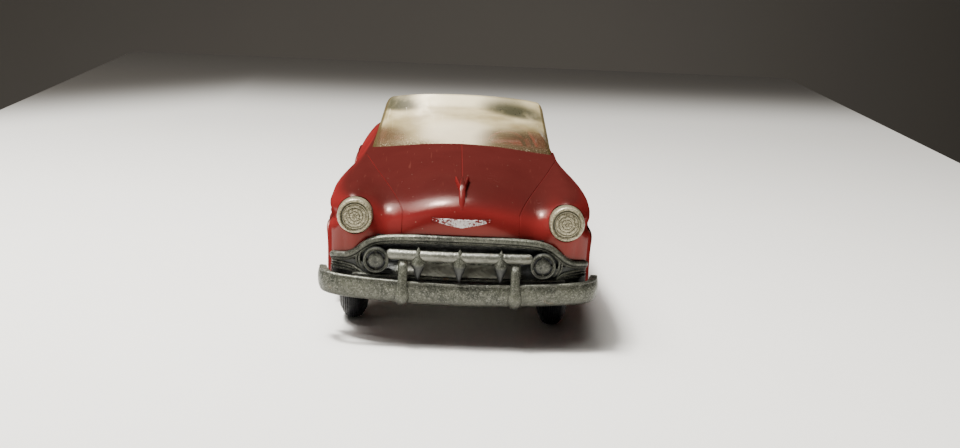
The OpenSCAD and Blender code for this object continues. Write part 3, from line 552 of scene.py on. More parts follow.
# Half sections of the body, from the lower edge of the nose over the car to the lower edge of the
# tail. Nine points each, from the middle outwards and down: centre, bonnet, bonnet seam, valley
# beside the fender, fender crown, shoulder, widest line, lower side, bottom edge.
SECTIONS = [
    # nose, lower edge
    [[0, -93.5, 13], [9, -93.4, 13], [16, -93, 13], [22, -92.6, 13], [28, -92, 13],
     [32.4, -90.5, 13], [35, -87.5, 12.5], [35.7, -85, 12], [35.8, -84, 10]],
    # behind the grille
    [[0, -94.5, 20], [9, -94.4, 20], [16, -94, 20], [22, -93.2, 20], [28.2, -92.6, 20],
     [33, -90.6, 20], [35.4, -87, 19.5], [36, -83.5, 16.5], [36, -82, 10]],
    # above the grille
    [[0, -95.6, 28], [9, -95.4, 28], [15.6, -94.6, 28], [21, -92.6, 27.5], [28.2, -93.2, 27.5],
     [33.4, -91, 27], [35.7, -86.5, 25.5], [36.2, -80, 19], [36.1, -79, 9.5]],
    # headlamps
    [[0, -96.6, 33], [9, -96.1, 32.8], [15.8, -94.2, 32.2], [21.4, -90.4, 31.5], [28.4, -95.6, 34],
     [34, -91.4, 33], [36.2, -84.5, 29], [36.6, -76, 21], [36.3, -75, 9]],
    # brow of the nose
    [[0, -96.2, 37.8], [8.5, -95, 37.2], [15.8, -91.8, 35.6], [21.6, -88.4, 34.3], [28.4, -93.4, 40.4],
     [33.8, -87.6, 37.8], [36.7, -79, 30.5], [37, -69, 22], [36.5, -69, 9]],
    # top of the nose
    [[0, -90.5, 41.6], [9, -89, 40.4], [16.6, -85.8, 37.8], [22.4, -84.6, 37], [28.6, -86.5, 41.4],
     [34, -81.5, 38.6], [37, -72.5, 31], [37.3, -62, 22], [36.7, -62, 9]],
    # bonnet, front
    [[0, -79, 44], [10, -78, 42.8], [18.6, -76.5, 39.8], [23.6, -76.5, 39.4], [29, -77.5, 41.6],
     [34.3, -74, 38.8], [37.2, -66, 31.4], [37.6, -56, 22.5], [37, -56, 9]],
    # bonnet, middle
    [[0, -64, 45.6], [11.5, -63.5, 44.5], [22.6, -63.5, 41.4], [26.4, -63.5, 41], [30.2, -64, 41.4],
     [34.2, -61.5, 38.6], [37.4, -56, 31.4], [37.8, -48, 23], [37.1, -48, 9]],
    # bonnet, rear
    [[0, -49, 46.6], [13.5, -49, 45.5], [26.6, -49.5, 42.3], [28.4, -49.5, 42], [30, -50, 41.5],
     [33.4, -48, 38.2], [37.1, -44, 31.2], [37.7, -38, 23], [37.1, -38, 9]],
    # cowl
    [[0, -37, 46.6], [14.5, -37, 45.5], [27.8, -37, 42.9], [28.6, -37, 42.6], [29.2, -37, 41.7],
     [32.2, -36, 37.6], [36.8, -33, 30.8], [37.6, -28, 23.5], [37.1, -28, 9]],
    # door, front
    [[0, -18, 44], [15, -18, 43.5], [25.8, -18, 42.6], [27.4, -18, 42.4], [28.6, -18, 41.5],
     [31.8, -18, 36.6], [36.2, -18, 30.2], [37.4, -18, 23.5], [37.1, -18, 9]],
    # door, middle
    [[0, 4, 42.5], [15, 4, 42.5], [25.3, 4, 42], [27, 4, 41.8], [28.2, 4, 40.9],
     [30.8, 4, 36], [35.4, 4, 29.8], [37, 4, 23.5], [36.8, 4, 9]],
    # rear quarter
    [[0, 22, 42.8], [15, 22, 42.8], [24.2, 22, 42.4], [26.4, 22, 41.8], [28, 22, 40.6],
     [30, 22, 35.6], [34.6, 22, 29.2], [36.5, 22, 23], [36.4, 22, 9]],
    # rear fender
    [[0, 40, 42.6], [13, 40, 42.4], [21.6, 40, 42], [25.4, 40, 41.4], [28.2, 40, 40],
     [30.9, 40, 35.6], [35.7, 40, 28.8], [36.9, 40, 21.5], [36.3, 40, 9]],
    # boot, front
    [[0, 56, 41.8], [12.5, 56, 41.5], [20.5, 56, 40.4], [24.6, 57, 39.4], [27.8, 58, 38.8],
     [31.6, 58, 35], [35.9, 58, 28.2], [36.9, 58, 20.5], [36, 58, 9]],
    # boot, rear
    [[0, 72, 39.4], [12, 72, 38.9], [19.6, 73, 37.2], [23.6, 74, 36.2], [27.6, 75, 36.8],
     [31.6, 76, 33.6], [35.4, 75, 27.2], [36.3, 74, 20], [35.6, 73, 9.5]],
    # end of the boot
    [[0, 85.5, 34.4], [12, 85.5, 33.9], [19.2, 86.5, 32], [24, 87.5, 31.2], [28.8, 91.5, 34.6],
     [32.2, 90.5, 31.6], [34.6, 87.5, 25.6], [35.4, 85, 19], [35.3, 82, 10]],
    # tail
    [[0, 93, 25], [12, 92.8, 25], [20, 92.4, 24], [25, 92, 24], [30, 95.4, 28],
     [33.4, 93.6, 25.6], [35.3, 91, 21.5], [35.8, 88.5, 17], [35.6, 87, 11]],
    # tail, lower edge
    [[0, 93, 12], [12, 92.8, 12], [20, 92.6, 12], [25.5, 92.4, 12], [30, 92.4, 12],
     [33, 91.6, 12], [34.8, 90.2, 12], [35.2, 89.6, 11.6], [35.3, 89, 11]],
]
LAST_U, LAST_V = len(SECTIONS) - 1, len(SECTIONS[0]) - 1
NET = with_ends(np.stack([mirrored(s) for s in SECTIONS]))
NET = np.concatenate([2 * NET[:, :1] - NET[:, 1:2], NET, 2 * NET[:, -1:] - NET[:, -2:-1]], axis=1)
WALL = 1.7
AXLE_Y = {"front": -69.5, "rear": 47.5}
for joint in frame["joints"]:
    for end in AXLE_Y:
        if joint["name"] == end + "_axle_spin":
            AXLE_Y[end] = joint["pos_m"][1] / MM
# wheel arches: height of their middle and radius
ARCH_Z = 14.4
ARCH_R = 15.6


def body_points(u, v):
    """Points of the body skin: u runs 0 to LAST_U from nose to tail, v from -LAST_V to LAST_V across."""
    i = np.clip(u.astype(int), 0, LAST_U - 1)
    j = np.clip((v + LAST_V).astype(int), 0, 2 * LAST_V - 1)
    wu, wv = weights(u - i), weights(v + LAST_V - j)
    return sum(wu[..., a, None] * wv[..., b, None] * NET[i + a, j + b] for a in range(4) for b in range(4))


def smooth(x, lo, hi):
    t = np.clip((x - lo) / (hi - lo), 0, 1)
    return t * t * (3 - 2 * t)


def swell(p, v):
    """How far the skin stands out of its smooth form, in millimetres."""
    x, y, z = np.abs(p[..., 0]), p[..., 1], p[..., 2]
    # vertical crease below each headlamp
    crease = np.clip(1 - np.abs(np.abs(v) - 4.05) / 0.55, 0, 1)
    out = 0.7 * crease * smooth(z, 19, 23) * smooth(z, 31, 28.5) * smooth(y, -86, -90)
    side = smooth(x, 32, 34.5)
    # the crown of the front fender ends in an edge, and its side is hollow below a soft ridge
    edge = np.clip(np.minimum((np.abs(v) - 4.3) / 1.05, (5.8 - np.abs(v)) / 0.45), 0, 1)
    out += 0.62 * edge * smooth(y, -93, -84) * smooth(y, -20, -42)
    hollow = np.interp(y, [-93, -85, -75, -65, -50], [33.2, 31.8, 30.2, 29, 28.2])
    out -= 1.15 * np.exp(-(((z - hollow) / 1.7) ** 2)) * smooth(y, -30, -52) * side
    ridge = 0.45 * np.exp(-(((z - hollow - 3.4) / 1.8) ** 2))
    out += ridge * smooth(y, -80, -68) * smooth(y, -10, -40) * side
    return out


def body_grid(rows, cols, inset=0.0):
    u, v = np.meshgrid(np.linspace(0, LAST_U, rows), np.linspace(-LAST_V, LAST_V, cols), indexing="ij")
    p = body_points(u, v)
    return p + (swell(p, v) - inset)[..., None] * grid_normals(p)


outer = body_grid(325, 225)
outer_tree = BVHTree.FromPolygons([Vector(v) for v in outer.reshape(-1, 3)], grid_faces(*outer.shape[:2]))


def hit(origin, direction):
    at, normal, _, _ = outer_tree.ray_cast(Vector(origin), Vector(direction))
    if normal.dot(Vector(direction)) > 0:
        normal = -normal
    return np.array(at), np.array(normal)


def cast(points, ray):
    """Points and normals where rays from a list of places meet the skin."""
    got = [hit(*ray(*q)) for q in points]
    return np.array([g[0] for g in got]), np.array([g[1] for g in got])


def from_above(points):
    return cast(points, lambda x, y: ((x, y, 120), (0, 0, -1)))


def from_front(points):
    return cast(points, lambda x, z: ((x, -160, z), (0, 1, 0)))


def from_behind(points):
    return cast(points, lambda x, z: ((x, 160, z), (0, -1, 0)))


def from_side(points, side):
    return cast(points, lambda y, z: ((side * 80, y, z), (-side, 0, 0)))


def groove(name, points, normals):
    """A tapered cutter that follows a line on the skin."""
    w, depth = 0.16, 0.13
    profile = [[-w * 1.3, 0.5], [-w, 0], [-w * 0.45, -depth], [w * 0.45, -depth], [w, 0], [w * 1.3, 0.5]]
    return mesh_solid(name, sweep_rings(points, profile, normals))


def mesh_solid(name, rings):
    """A closed solid through rings, with its faces outwards."""
    s = Shells().rings(rings)
    obj = mesh_object(name, s.verts, s.faces)
    outward(obj)
    return obj


def outward(obj):
    """Turns a closed mesh inside out if its volume is negative."""
    mesh = obj.data
    mesh.calc_loop_triangles()
    v = np.array([p.co for p in mesh.vertices])
    t = np.array([l.vertices for l in mesh.loop_triangles])
    if np.einsum("ij,ij->i", v[t[:, 0]], np.cross(v[t[:, 1]], v[t[:, 2]])).sum() < 0:
        mesh.flip_normals()


def seam_x(y):
    """Half width of the bonnet lid at a place along the car."""
    t = np.clip((y + 91.5) / 49.5, 0, 1)
    return 15.7 + 12.6 * t + math.sin(math.pi * t)


# boot lid: half its width at the back, and the height of its lower edge
BOOT_HALF = 18.8
BOOT_FOOT = 20.5


def door_line():
    """Down the door's front edge, along the sill and up its rear edge, in the side view."""
    front, rear, low, high, r = -27.5, 14.5, 15.5, 40.4, 3
    line = [(front, t) for t in np.linspace(high, low + r, 26)]
    line += [tuple(q) for q in arc((front + r, low + r), r, 180, 270, 8)[1:]]
    line += [(t, low) for t in np.linspace(front + 4, rear - 4, 30)]
    line += [tuple(q) for q in arc((rear - r, low + r), r, 270, 360, 8)]
    return line + [(rear, t) for t in np.linspace(low + 4, high, 26)]


def body_grooves():
    cuts = []
    for side in (-1, 1):
        y = np.linspace(-91.3, -41, 70)
        cuts.append(("bonnet", from_above([(side * seam_x(t), t) for t in y])))
        z = np.linspace(35.4, 29.6, 14)
        cuts.append(("bonnet_front", from_front([(side * 15.7, t) for t in z])))
        cuts.append(("door", from_side(door_line(), side)))
    cuts.append(("bonnet_middle", from_above([(0, t) for t in np.linspace(-84.5, -41, 60)])))
    # boot lid
    half = [(0, 41.5), (10, 41.8), (17, 43), (19.4, 46), (20.4, 52), (19.8, 62), (19.2, 72), (18.9, 82),
            (BOOT_HALF, 86.5)]
    line = curve([[x, y, 0] for x, y in half], 90)[:, :2]
    for side in (-1, 1):
        cuts.append(("boot", from_above([(side * x, y) for x, y in line])))
        z = np.linspace(31.5, BOOT_FOOT, 16)
        cuts.append(("boot_end", from_behind([(side * BOOT_HALF, t) for t in z])))
    cuts.append(("boot_foot", from_behind([(t, BOOT_FOOT) for t in np.linspace(-BOOT_HALF, BOOT_HALF, 40)])))
    return [groove(f"{name}_{k}", p, n) for k, (name, (p, n)) in enumerate(cuts)]


def cabin_line(inset=0.0, n=7):
    points = [(25.5, -20), (12.75, -25), (0, -26), (-12.75, -25), (-25.5, -20), (-24.5, 35), (24.5, 35)]
    line = rounded_outline(points, 6, n)
    centre = line.mean(0)
    return line + unit(centre - line) * inset


# bonnet fin: place along the car, height of its top and half its width there
FIN_STEM = ((-95.2, 37.2, 0.45), (-94.4, 38.3, 0.7), (-93.2, 39.9, 0.82), (-91.8, 41.4, 0.84),
            (-90.4, 42.7, 0.8), (-88.6, 43.3, 0.66), (-86.6, 43.7, 0.5), (-84.6, 44.0, 0.36),
            (-83.2, 44.0, 0.2))


def fin_solids():
    """Upright stem on the front of the bonnet, and the two low wings that spread back from its top."""
    stem = []
    for y, top, half in FIN_STEM:
        low = top - 4.2
        stem.append([[-half, y, low], [-half, y, top - 0.45], [-half * 0.7, y, top - 0.12], [0, y, top],
                     [half * 0.7, y, top - 0.12], [half, y, top - 0.45], [half, y, low]])
    solids = [mesh_solid("fin_stem", stem)]
    profile = [[-0.34, -1.6], [-0.32, -0.1], [-0.12, 0.22], [0.12, 0.22], [0.32, -0.1], [0.34, -1.6]]
    up = np.tile([0, 0.0, 1.0], (16, 1))
    for side in (-1, 1):
        path = curve([[side * 0.3, -90.6, 41.9], [side * 0.8, -88.4, 42.7], [side * 1.25, -85.8, 43.3],
                      [side * 1.6, -83.2, 43.7]], 16)
        rings = sweep_rings(path, profile, up, np.linspace(0.8, 1.0, 16))
        solids.append(mesh_solid(f"fin_wing_{side}", rings))
    return solids


def badge_plate():
    """Low raised lozenge on the nose, plain."""
    x = np.linspace(-BADGE_HALF, BADGE_HALF, 49)
    rows = []
    for k, level in ((0, -0.6), (0.04, 0.16), (0.12, 0.26), (0.88, 0.26), (0.96, 0.16), (1, -0.6)):
        left = np.clip(1 - np.abs(x) / BADGE_HALF, 0, 1)
        top = np.full_like(x, BADGE_TOP)
        foot = BADGE_TOP - BADGE_END - BADGE_DROP * left**0.6
        z = top + (foot - top) * k
        p, n = from_front(list(zip(x, z)))
        rows.append(p + level * n)
    rings = np.stack(rows, 1)
    return mesh_solid("badge_plate", rings)


def rim_bead():
    """Rounded edge round the open cabin."""
    p, n = from_above(cabin_line(-0.1, 9))
    up = np.tile([0, 0, 1.0], (len(p), 1))
    s = Shells().loop(sweep_loop(p - 0.75 * n, circle(1.0, 12), up))
    obj = mesh_object("rim_bead", s.verts, s.faces)
    outward(obj)
    return obj


def sweep_loop(path, profile, normals):
    """Rings of a profile round a closed path."""
    path = np.asarray(path, float)
    along = unit(np.roll(path, -1, 0) - np.roll(path, 1, 0))
    side = unit(np.cross(along, normals))
    out = np.cross(side, along)
    return path[:, None] + profile[None, :, :1] * side[:, None] + profile[None, :, 1:] * out[:, None]


def arch_lips():
    """Rolled lip round each wheel arch, proudest at its top."""
    lips = []
    for end in AXLE_Y:
        for side in (-1, 1):
            p, n = from_side(arc((AXLE_Y[end], ARCH_Z), ARCH_R + 0.35, -8, 188, 60), side)
            top = smooth(p[:, 2], 24, 29)[:, None]
            rings = sweep_rings(p - (0.5 - 0.4 * top) * n, circle(0.62, 10), n)
            lips.append(mesh_solid(f"lip_{end}_{side}", rings))
    return lips


def arch_cutter():
    s = Shells()
    for end in AXLE_Y:
        for side in (-1, 1):
            s.rings([[[side * x, AXLE_Y[end] + q[0], ARCH_Z + q[1]] for q in circle(ARCH_R, 72)][::side]
                     for x in (19, 45)])
    return mesh_object("arch_cut", s.verts, s.faces)


def lamp_cutter():
    """Round holes for the four lamps, a little wider than they are."""
    s = Shells()
    for node, y0, y1 in (("headlamp", -110, -88), ("tail_lamp", 86, 110)):
        for hand in ("left", "right"):
            lo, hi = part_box(f"{node}_{hand}")
            c, r = middle(lo, hi)
            s.rings([[[c.x + q[0], y, c.z + q[1]] for q in circle(r + 0.12, 64)][::-1] for y in (y0, y1)])
    return mesh_object("lamp_cut", s.verts, s.faces)


def grille_cutter():
    half = [(21.5, 27.6), (25.5, 25.6), (28.5, 22), (32.3, 18.5), (32.3, 13.6)]
    return prism("grille_cut", half + [(-x, z) for x, z in half[::-1]], -120, -88, axis=1)


def make_body():
    rows, cols = outer.shape[:2]
    inner = body_grid(rows, cols, WALL)
    # a rim of quads joins the edges of the two skins
    n = rows * cols
    edge = rim_order(rows, cols)
    faces = grid_faces(rows, cols) + grid_faces(rows, cols, start=n, flip=True)
    faces += [(a, a + n, b + n, b) for a, b in zip(edge, edge[1:] + edge[:1])]
    body = mesh_object("body_visual", np.concatenate([outer.reshape(-1, 3), inner.reshape(-1, 3)]), faces)
    outward(body)
    cuts = [prism("cabin_cut", cabin_line(), 36, 80), arch_cutter(), lamp_cutter(), grille_cutter()]
    for c in cuts:
        outward(c)
    boolean(body, "DIFFERENCE", *cuts)
    boolean(body, "UNION", *fin_solids(), badge_plate(), rim_bead(), *arch_lips())
    boolean(body, "DIFFERENCE", *body_grooves())
    body.data.polygons.foreach_set("use_smooth", [True] * len(body.data.polygons))
    body.data.set_sharp_from_angle(angle=math.radians(32))
    body.name = "moulded_body"
    return body


# ---- windscreen ---------------------------------------------------------------------------------

# heights the colours of the glass go by, in metres
GLASS_FOOT = 0.0425
GLASS_HEAD = 0.0594
# lower and upper edge of the plate, and its thickness, in millimetres
GLASS_BASE = [[0, -39.9, 44.9], [12, -38.7, 44.6], [22, -35.3, 43.6], [27.4, -31, 42.4]]
GLASS_TOP = [[0, -25.6, 59.4], [10, -24.9, 59.1], [18.5, -22.6, 58.2], [23.8, -19.8, 56.9]]
GLASS_THICK = 1.0


def glass_face(across, up):
    """Front of the plate as a grid, and how dark its edges are: bands down both sides, a line on top."""
    b = curve(mirrored(GLASS_BASE), across) + [0.4, 0, 0]
    t = curve(mirrored(GLASS_TOP), across) + [0.8, 0, 0]
    s = np.linspace(-1, 1, across)[None, :, None]
    k = np.linspace(0, 1, up)[:, None, None]
    # the upper corners are rounded
    corner = np.clip((np.abs(s) - 0.9) / 0.1, 0, 1)
    k = k * (1 - 0.13 * (1 - np.sqrt(1 - corner**2)))
    face = b[None] + (t - b)[None] * k
    face[..., 1:2] -= 0.7 * np.sin(np.pi * k)
    sides = smooth(np.abs(s[..., 0]), 0.942, 0.958) * 0.95
    return face, np.maximum(sides, smooth(k[..., 0], 0.97, 0.99) * 0.6)


def make_windscreen():
    rows, cols = 33, 97
    face, band = glass_face(cols, rows)
    normal = grid_normals(face)
    if normal[rows // 2, cols // 2, 1] > 0:
        normal = -normal
    back = face - GLASS_THICK * normal
    n = rows * cols
    edge = rim_order(rows, cols)
    m = len(edge)
    verts = np.concatenate([face.reshape(-1, 3), back.reshape(-1, 3)])
    # a line of points between the two faces rounds the edge
    mid = np.array([(verts[e] + verts[e + n]) / 2 for e in edge])
    mid += unit(mid - face.reshape(-1, 3).mean(0)) * 0.22
    verts = np.concatenate([verts, mid])
    faces = grid_faces(rows, cols) + grid_faces(rows, cols, start=n, flip=True)
    for q in range(m):
        a, a2, c, c2 = edge[q], edge[(q + 1) % m], 2 * n + q, 2 * n + (q + 1) % m
        faces += [(a, c, c2, a2), (c, a + n, a2 + n, c2)]
    shade = np.ones(len(verts))
    shade[:n] = shade[n:2 * n] = band.ravel()
    obj = Shells().add(verts, faces, shade).object("windscreen_plate", 60)
    outward(obj)
    return obj


# ---- grille and bumpers -------------------------------------------------------------------------

TOP_BAR = [[0, -96.3, 28.75], [9, -96.1, 28.7], [16, -95.5, 28.45], [21, -94.7, 27.95], [24.2, -94.2, 26.9],
           [26.4, -93.9, 25.2], [28.2, -93.5, 23.6], [30.4, -92.8, 22.6], [32.8, -91.3, 22.25],
           [34.7, -89, 22.1]]
BAR_Z = 24.4
TEETH_X = (-11, 0, 11)
LAMP_X, LAMP_Y, LAMP_Z = 22.3, -95.6, 22.7
GUARD_X, GUARD_Y = 15, -99.0
# bumper guard: height, half width, half depth and how far back its middle is there
GUARD = ((11.15, 0.35, 0.3, 0.45), (11.4, 1.0, 0.75, 0.4), (11.9, 1.5, 1.1, 0.3), (12.7, 1.85, 1.3, 0.15),
         (13.7, 1.95, 1.35, 0.05), (14.8, 1.85, 1.3, 0.05), (15.8, 1.6, 1.2, 0.1), (16.7, 1.36, 1.1, 0.2),
         (17.8, 1.26, 1.05, 0.35), (19.2, 1.25, 1.05, 0.6), (20.6, 1.28, 1.05, 0.85), (21.6, 1.32, 1.05, 1.2),
         (22.2, 1.3, 0.9, 1.6), (22.8, 1.25, 0.75, 2.0), (23.3, 1.0, 0.5, 2.4), (23.5, 0.5, 0.25, 2.6))


def forward(n):
    return np.tile([0, -1.0, 0], (n, 1))


def grain(rings, depth, size=1.1):
    """Small lumps of a rough casting, laid over rings of points."""
    r = np.asarray(rings, float)
    k = 2 * math.pi / size
    x, y, z = r[..., 0], r[..., 1], r[..., 2]
    bump = np.sin(k * x + 1.7 * np.sin(0.61 * k * z)) * np.sin(0.83 * k * z + 1.3 * np.sin(0.47 * k * x + y))
    bump += 0.6 * np.sin(1.9 * k * x + 2.1 * z) * np.sin(1.7 * k * z - 1.3 * x)
    centre = r.mean(1, keepdims=True)
    return r + depth * bump[..., None] * unit(r - centre)


def cast_bar(path, profile, depth, *ends):
    """Rings of a rough bar with rounded ends."""
    n = len(path)
    return grain(sweep_rings(path, profile, forward(n), rounded_ends(n, *ends)), depth)


def slot_plate(g):
    """Rough back plate of the slot, and the pan below the middle bar."""
    x = np.linspace(-28, 28, 113)
    bow = 0.0034 * x * x
    z = np.linspace(29, 18.6, 40)
    back = np.where(z < 23.5, -94.3 - 2.6 * smooth(z, 22.5, 18.8) ** 1.4, -94.3)
    rows = np.stack([np.stack([x, y + bow, np.full_like(x, level)], -1) for y, level in zip(back, z)])
    across, height = rows[..., 0], rows[..., 2]
    lump = 0.16 * np.sin(2.3 * across + 2 * np.sin(1.9 * height)) * np.sin(3.1 * height + across)
    # a low cast mound between the teeth
    mound = 0.45 * np.exp(-((np.abs(np.abs(across) - 5.5) / 2.6) ** 2) - ((height - 20.7) / 1.2) ** 2)
    rows[..., 1] -= lump + mound
    # painted shade under the top bar, just below the middle bar and round the parking lamps, and over the back;
    # negative values paint light on the pan
    roof = smooth(height, 22.4, 24.2)
    under = np.exp(-(((height - 22.7) / 0.6) ** 2))
    lamp = smooth(np.hypot(np.abs(across) - LAMP_X, height - LAMP_Z), 8.0, 5.0)
    shade = 0.75 * roof + 0.8 * under + 1.6 * lamp - 0.75 * smooth(height, 22.4, 21.6)
    shade = np.clip(shade, -0.75, 1)
    closed = np.concatenate([rows, rows[::-1] + [0, 2.2, 0]])
    closed[len(z):, :, 1] = np.maximum(closed[len(z):, :, 1], -92.4 + bow)
    g.rings(np.moveaxis(closed, 0, 1), np.moveaxis(np.concatenate([shade, np.ones_like(shade)]), 0, 1))


def top_bar(g):
    """Bar over the slot, with grooves along its lower edge."""
    profile = [[-1.2, -0.9], [-1.22, 0.1], [-1.05, 0.5], [-0.6, 0.78], [0.05, 0.82], [0.3, 0.62],
               [0.42, 0.42], [0.52, 0.6], [0.68, 0.6], [0.78, 0.36], [0.88, 0.5], [1.04, 0.46],
               [1.16, 0.2], [1.2, -0.9]]
    rings = cast_bar(curve(mirrored(TOP_BAR), 260), profile, 0.03, 0.45, 7)
    # painted shade in the grooves and along the lower back
    line = np.array([0, 0, 0, 0, 0, 0, 0.5, 0, 0, 0.55, 0, 0, 0.5, 1.0])
    g.rings(rings, np.tile(line, (len(rings), 1)))


def flange(g, side):
    """Three ridges at one end, which run in under the parking lamp, and the web behind them."""
    for k in range(3):
        drop = 0.78 * k
        path = curve([[side * 34.5, -89.2, 20.75 - drop], [side * 32.8, -91.1, 20.75 - drop],
                      [side * 30.6, -92.6, 20.8 - drop], [side * (28.6 - 0.5 * k), -93.7, 20.5 - drop],
                      [side * (27.2 - 0.9 * k), -94.6, 19.6 - 0.8 * drop],
                      [side * (25.4 - 1.0 * k), -95.4, 18.6 - 0.5 * drop]], 50)
        g.rings(cast_bar(path, circle(0.34, 9), 0.02, 0.4))
    # the web behind the ridges is painted dark as shade
    web = curve([[side * 34.4, -88.6, 19.2], [side * 31.8, -91.8, 19.2], [side * 28.8, -93.3, 19.0],
                 [side * 26, -94.2, 18.4]], 24)
    g.rings(sweep_rings(web, [[-3.2, -0.5], [-3.2, 0.2], [3.2, 0.2], [3.2, -0.5]], forward(24)), 0.75)


def parking_lamp(g, side):
    """Dished disc, a groove in four arcs painted black as shade, and a plain outer ring, in a housing round its
    outer side.
    """
    a = np.radians(np.linspace(-118, 78, 46))
    # the housing arcs are painted a little darker as shade
    for r, size in ((4.5, 0.36), (5.3, 0.3)):
        path = np.stack([side * (LAMP_X + r * np.cos(a)), LAMP_Y + 0.95 + 0.18 * r * np.cos(a),
                         LAMP_Z + r * np.sin(a)], -1)
        g.rings(cast_bar(path, circle(size, 9), 0.02, 0.5), 0.15)
    profile = [[0, 1.55], [0.9, 1.6], [1.6, 1.5], [2.0, 1.25], [2.06, 0.5], [2.5, 0.5], [2.56, 1.35],
               [2.7, 1.55], [2.9, 1.45], [3.05, 1.6], [3.3, 1.5], [3.42, 1.1], [3.44, -1.2]]
    # painted shade, darkest in the groove
    shade = [0.3, 0.25, 0.3, 0.2, 1, 1, 0.15, 0, 0.5, 0, 0.1, 0.6, 1]
    g.add(*turned(profile, 72, (side * LAMP_X, LAMP_Y, LAMP_Z), (0, -1, 0), shade))
    # pegs that break the groove
    for turn in (4, 94, 184, 274):
        t = math.radians(turn)
        c = np.array([side * LAMP_X + 2.27 * math.cos(t), LAMP_Y - 0.95, LAMP_Z + 2.27 * math.sin(t)])
        g.add(*turned([[0, 0.55], [0.25, 0.4], [0.33, 0.0], [0.33, -0.6]], 10, c, (0, -1, 0)))


def middle_bar(g):
    x = np.linspace(-19.4, 19.4, 130)
    path = np.stack([x, -97.3 + 0.0040 * x * x, np.full_like(x, BAR_Z)], -1)
    # a negative shade paints the bar lighter, as light falling on it
    g.rings(cast_bar(path, circle(1.42, 24), 0.035, 0.6, 4), -0.32)


def teeth(g):
    """Turned spindles on the middle bar."""
    profile = [[0.04, 4.4], [0.34, 3.9], [0.7, 3.1], [1.12, 2.1], [1.58, 1.1], [1.84, 0.35], [1.92, -0.1],
               [1.76, -0.6], [1.5, -1.3], [1.14, -2.2], [0.8, -3.1], [0.5, -4.0], [0.3, -4.6], [0.05, -4.8]]
    # painted shade, darker towards the lower point
    shade = [0, 0, 0, 0, 0, 0.05, 0.2, 0.5, 0.65, 0.7, 0.75, 0.8, 0.85, 0.9]
    for x in TEETH_X:
        v, f, sh = turned(profile, 28, (x, -97.7 + 0.0034 * x * x, 22.4), (0, 0, 1), shade)
        g.add(v, [q[::-1] for q in f], sh)


def ledge(g):
    """Stepped ledge that comes forward from the pan to the bumper."""
    x = np.linspace(-28.5, 28.5, 130)
    path = np.stack([x, -96.2 + 0.0029 * x * x, 18.1 - 0.2 * np.cos(x / 18)], -1)
    profile = [[-1.0, -2.0], [-1.0, 1.1], [-0.62, 1.72], [-0.25, 1.5], [-0.05, 0.8], [0.3, 0.72], [0.5, 0.42],
               [0.62, -0.3], [0.95, -0.5], [1.15, -0.9], [1.15, -2.0]]
    # painted shade in the steps and at the back
    shade = [1, 0.5, 0, 0, 0.5, 0, 0, 0.6, 0.1, 0.2, 1]
    g.rings(cast_bar(path, profile, 0.04, 0.5), np.tile(shade, (len(x), 1)))


def make_grille():
    g = Shells()
    slot_plate(g)
    top_bar(g)
    for side in (-1, 1):
        flange(g, side)
        parking_lamp(g, side)
    middle_bar(g)
    teeth(g)
    ledge(g)
    return g.object("grille_casting", 50)


def bumper_path(n):
    half = [[0, -98.55, 14.45], [10, -98.45, 14.6], [20, -97.95, 15.0], [29, -96.9, 15.35],
            [34.6, -95.2, 15.7], [36.9, -92.3, 16.0], [37.35, -88.4, 16.3]]
    return curve(mirrored(half), n)


def bumper_bar():
    """Rings of the bar, which wraps round both corners."""
    n = 240
    path = bumper_path(n)
    profile = np.array([[-2.95, -0.55], [-3.02, 0.0], [-2.85, 0.42], [-2.2, 0.66], [-1.2, 0.86], [0, 0.95],
                        [1.1, 0.9], [1.95, 0.72], [2.35, 0.5], [2.5, 0.5], [2.72, 0.62], [2.95, 0.45],
                        [3.0, 0.0], [2.9, -0.55], [1.5, -0.75], [0, -0.8], [-1.5, -0.75]])
    # local outward direction of the bar, level with the floor
    along = unit(np.gradient(path, axis=0))
    out = np.cross(along, [0, 0, 1.0])
    if out[n // 2, 1] > 0:
        out = -out
    d = np.minimum(np.arange(n), n - 1 - np.arange(n)) / 9.0
    round_end = np.sqrt(np.clip(1 - (1 - np.clip(d, 0, 1)) ** 2, 0, 1))
    rings = []
    for k in range(n):
        p = profile.copy()
        # the foot of the bar rounds up to its tip, and the top corner stays nearly square
        low = p[:, 0] < 0
        p[low, 0] *= 0.25 + 0.75 * round_end[k]
        p[~low, 0] *= 0.9 + 0.1 * round_end[k]
        p[:, 1] *= 0.7 + 0.3 * round_end[k]
        # the bar is thicker where it turns back round the fenders
        p[p[:, 1] < 0, 1] -= 0.9 * smooth(abs(path[k, 0]), 34, 36.8)
        rings.append(path[k] + p[:, 1:] * out[k] + p[:, :1] * [0, 0, 1.0])
    return grain(rings, 0.035, 1.3)


def make_bumper(name, end):
    g = Shells().rings(bumper_bar())
    # the feet run back to the body, further at the rear
    reach = 3.4 if end == "front" else 6.4
    for side in (-1, 1):
        x = side * GUARD_X
        g.rings(grain([[[x + q[0] * rx, GUARD_Y + q[1] * ry + back, z] for q in circle(1, 24)]
                       for z, rx, ry, back in GUARD], 0.03, 1.0))
        # the feet are painted darker as shade behind the bar
        foot = [[x - 1.5, z] for z in (14, 16.6)] + [[x + 1.5, z] for z in (16.6, 14)]
        g.rings([[[a, y, b] for a, b in foot] for y in (-98.0, -98.0 + reach)], 0.4)
    if end == "rear":
        g.verts = (np.array(g.verts) * [1, -1, 1]).tolist()
        g.faces = [f[::-1] for f in g.faces]
    return g.object(name, 50)


# ---- lamps --------------------------------------------------------------------------------------

def overhung(points, c):
    """1 below the upper left of the bezel, where it shades the lens, and little at the lower right."""
    d = unit((points - c) * [1, 0, 1])
    return smooth(d[:, 2] * 0.85 - d[:, 0] * 0.5, -0.75, 0.35) * 0.85 + 0.1


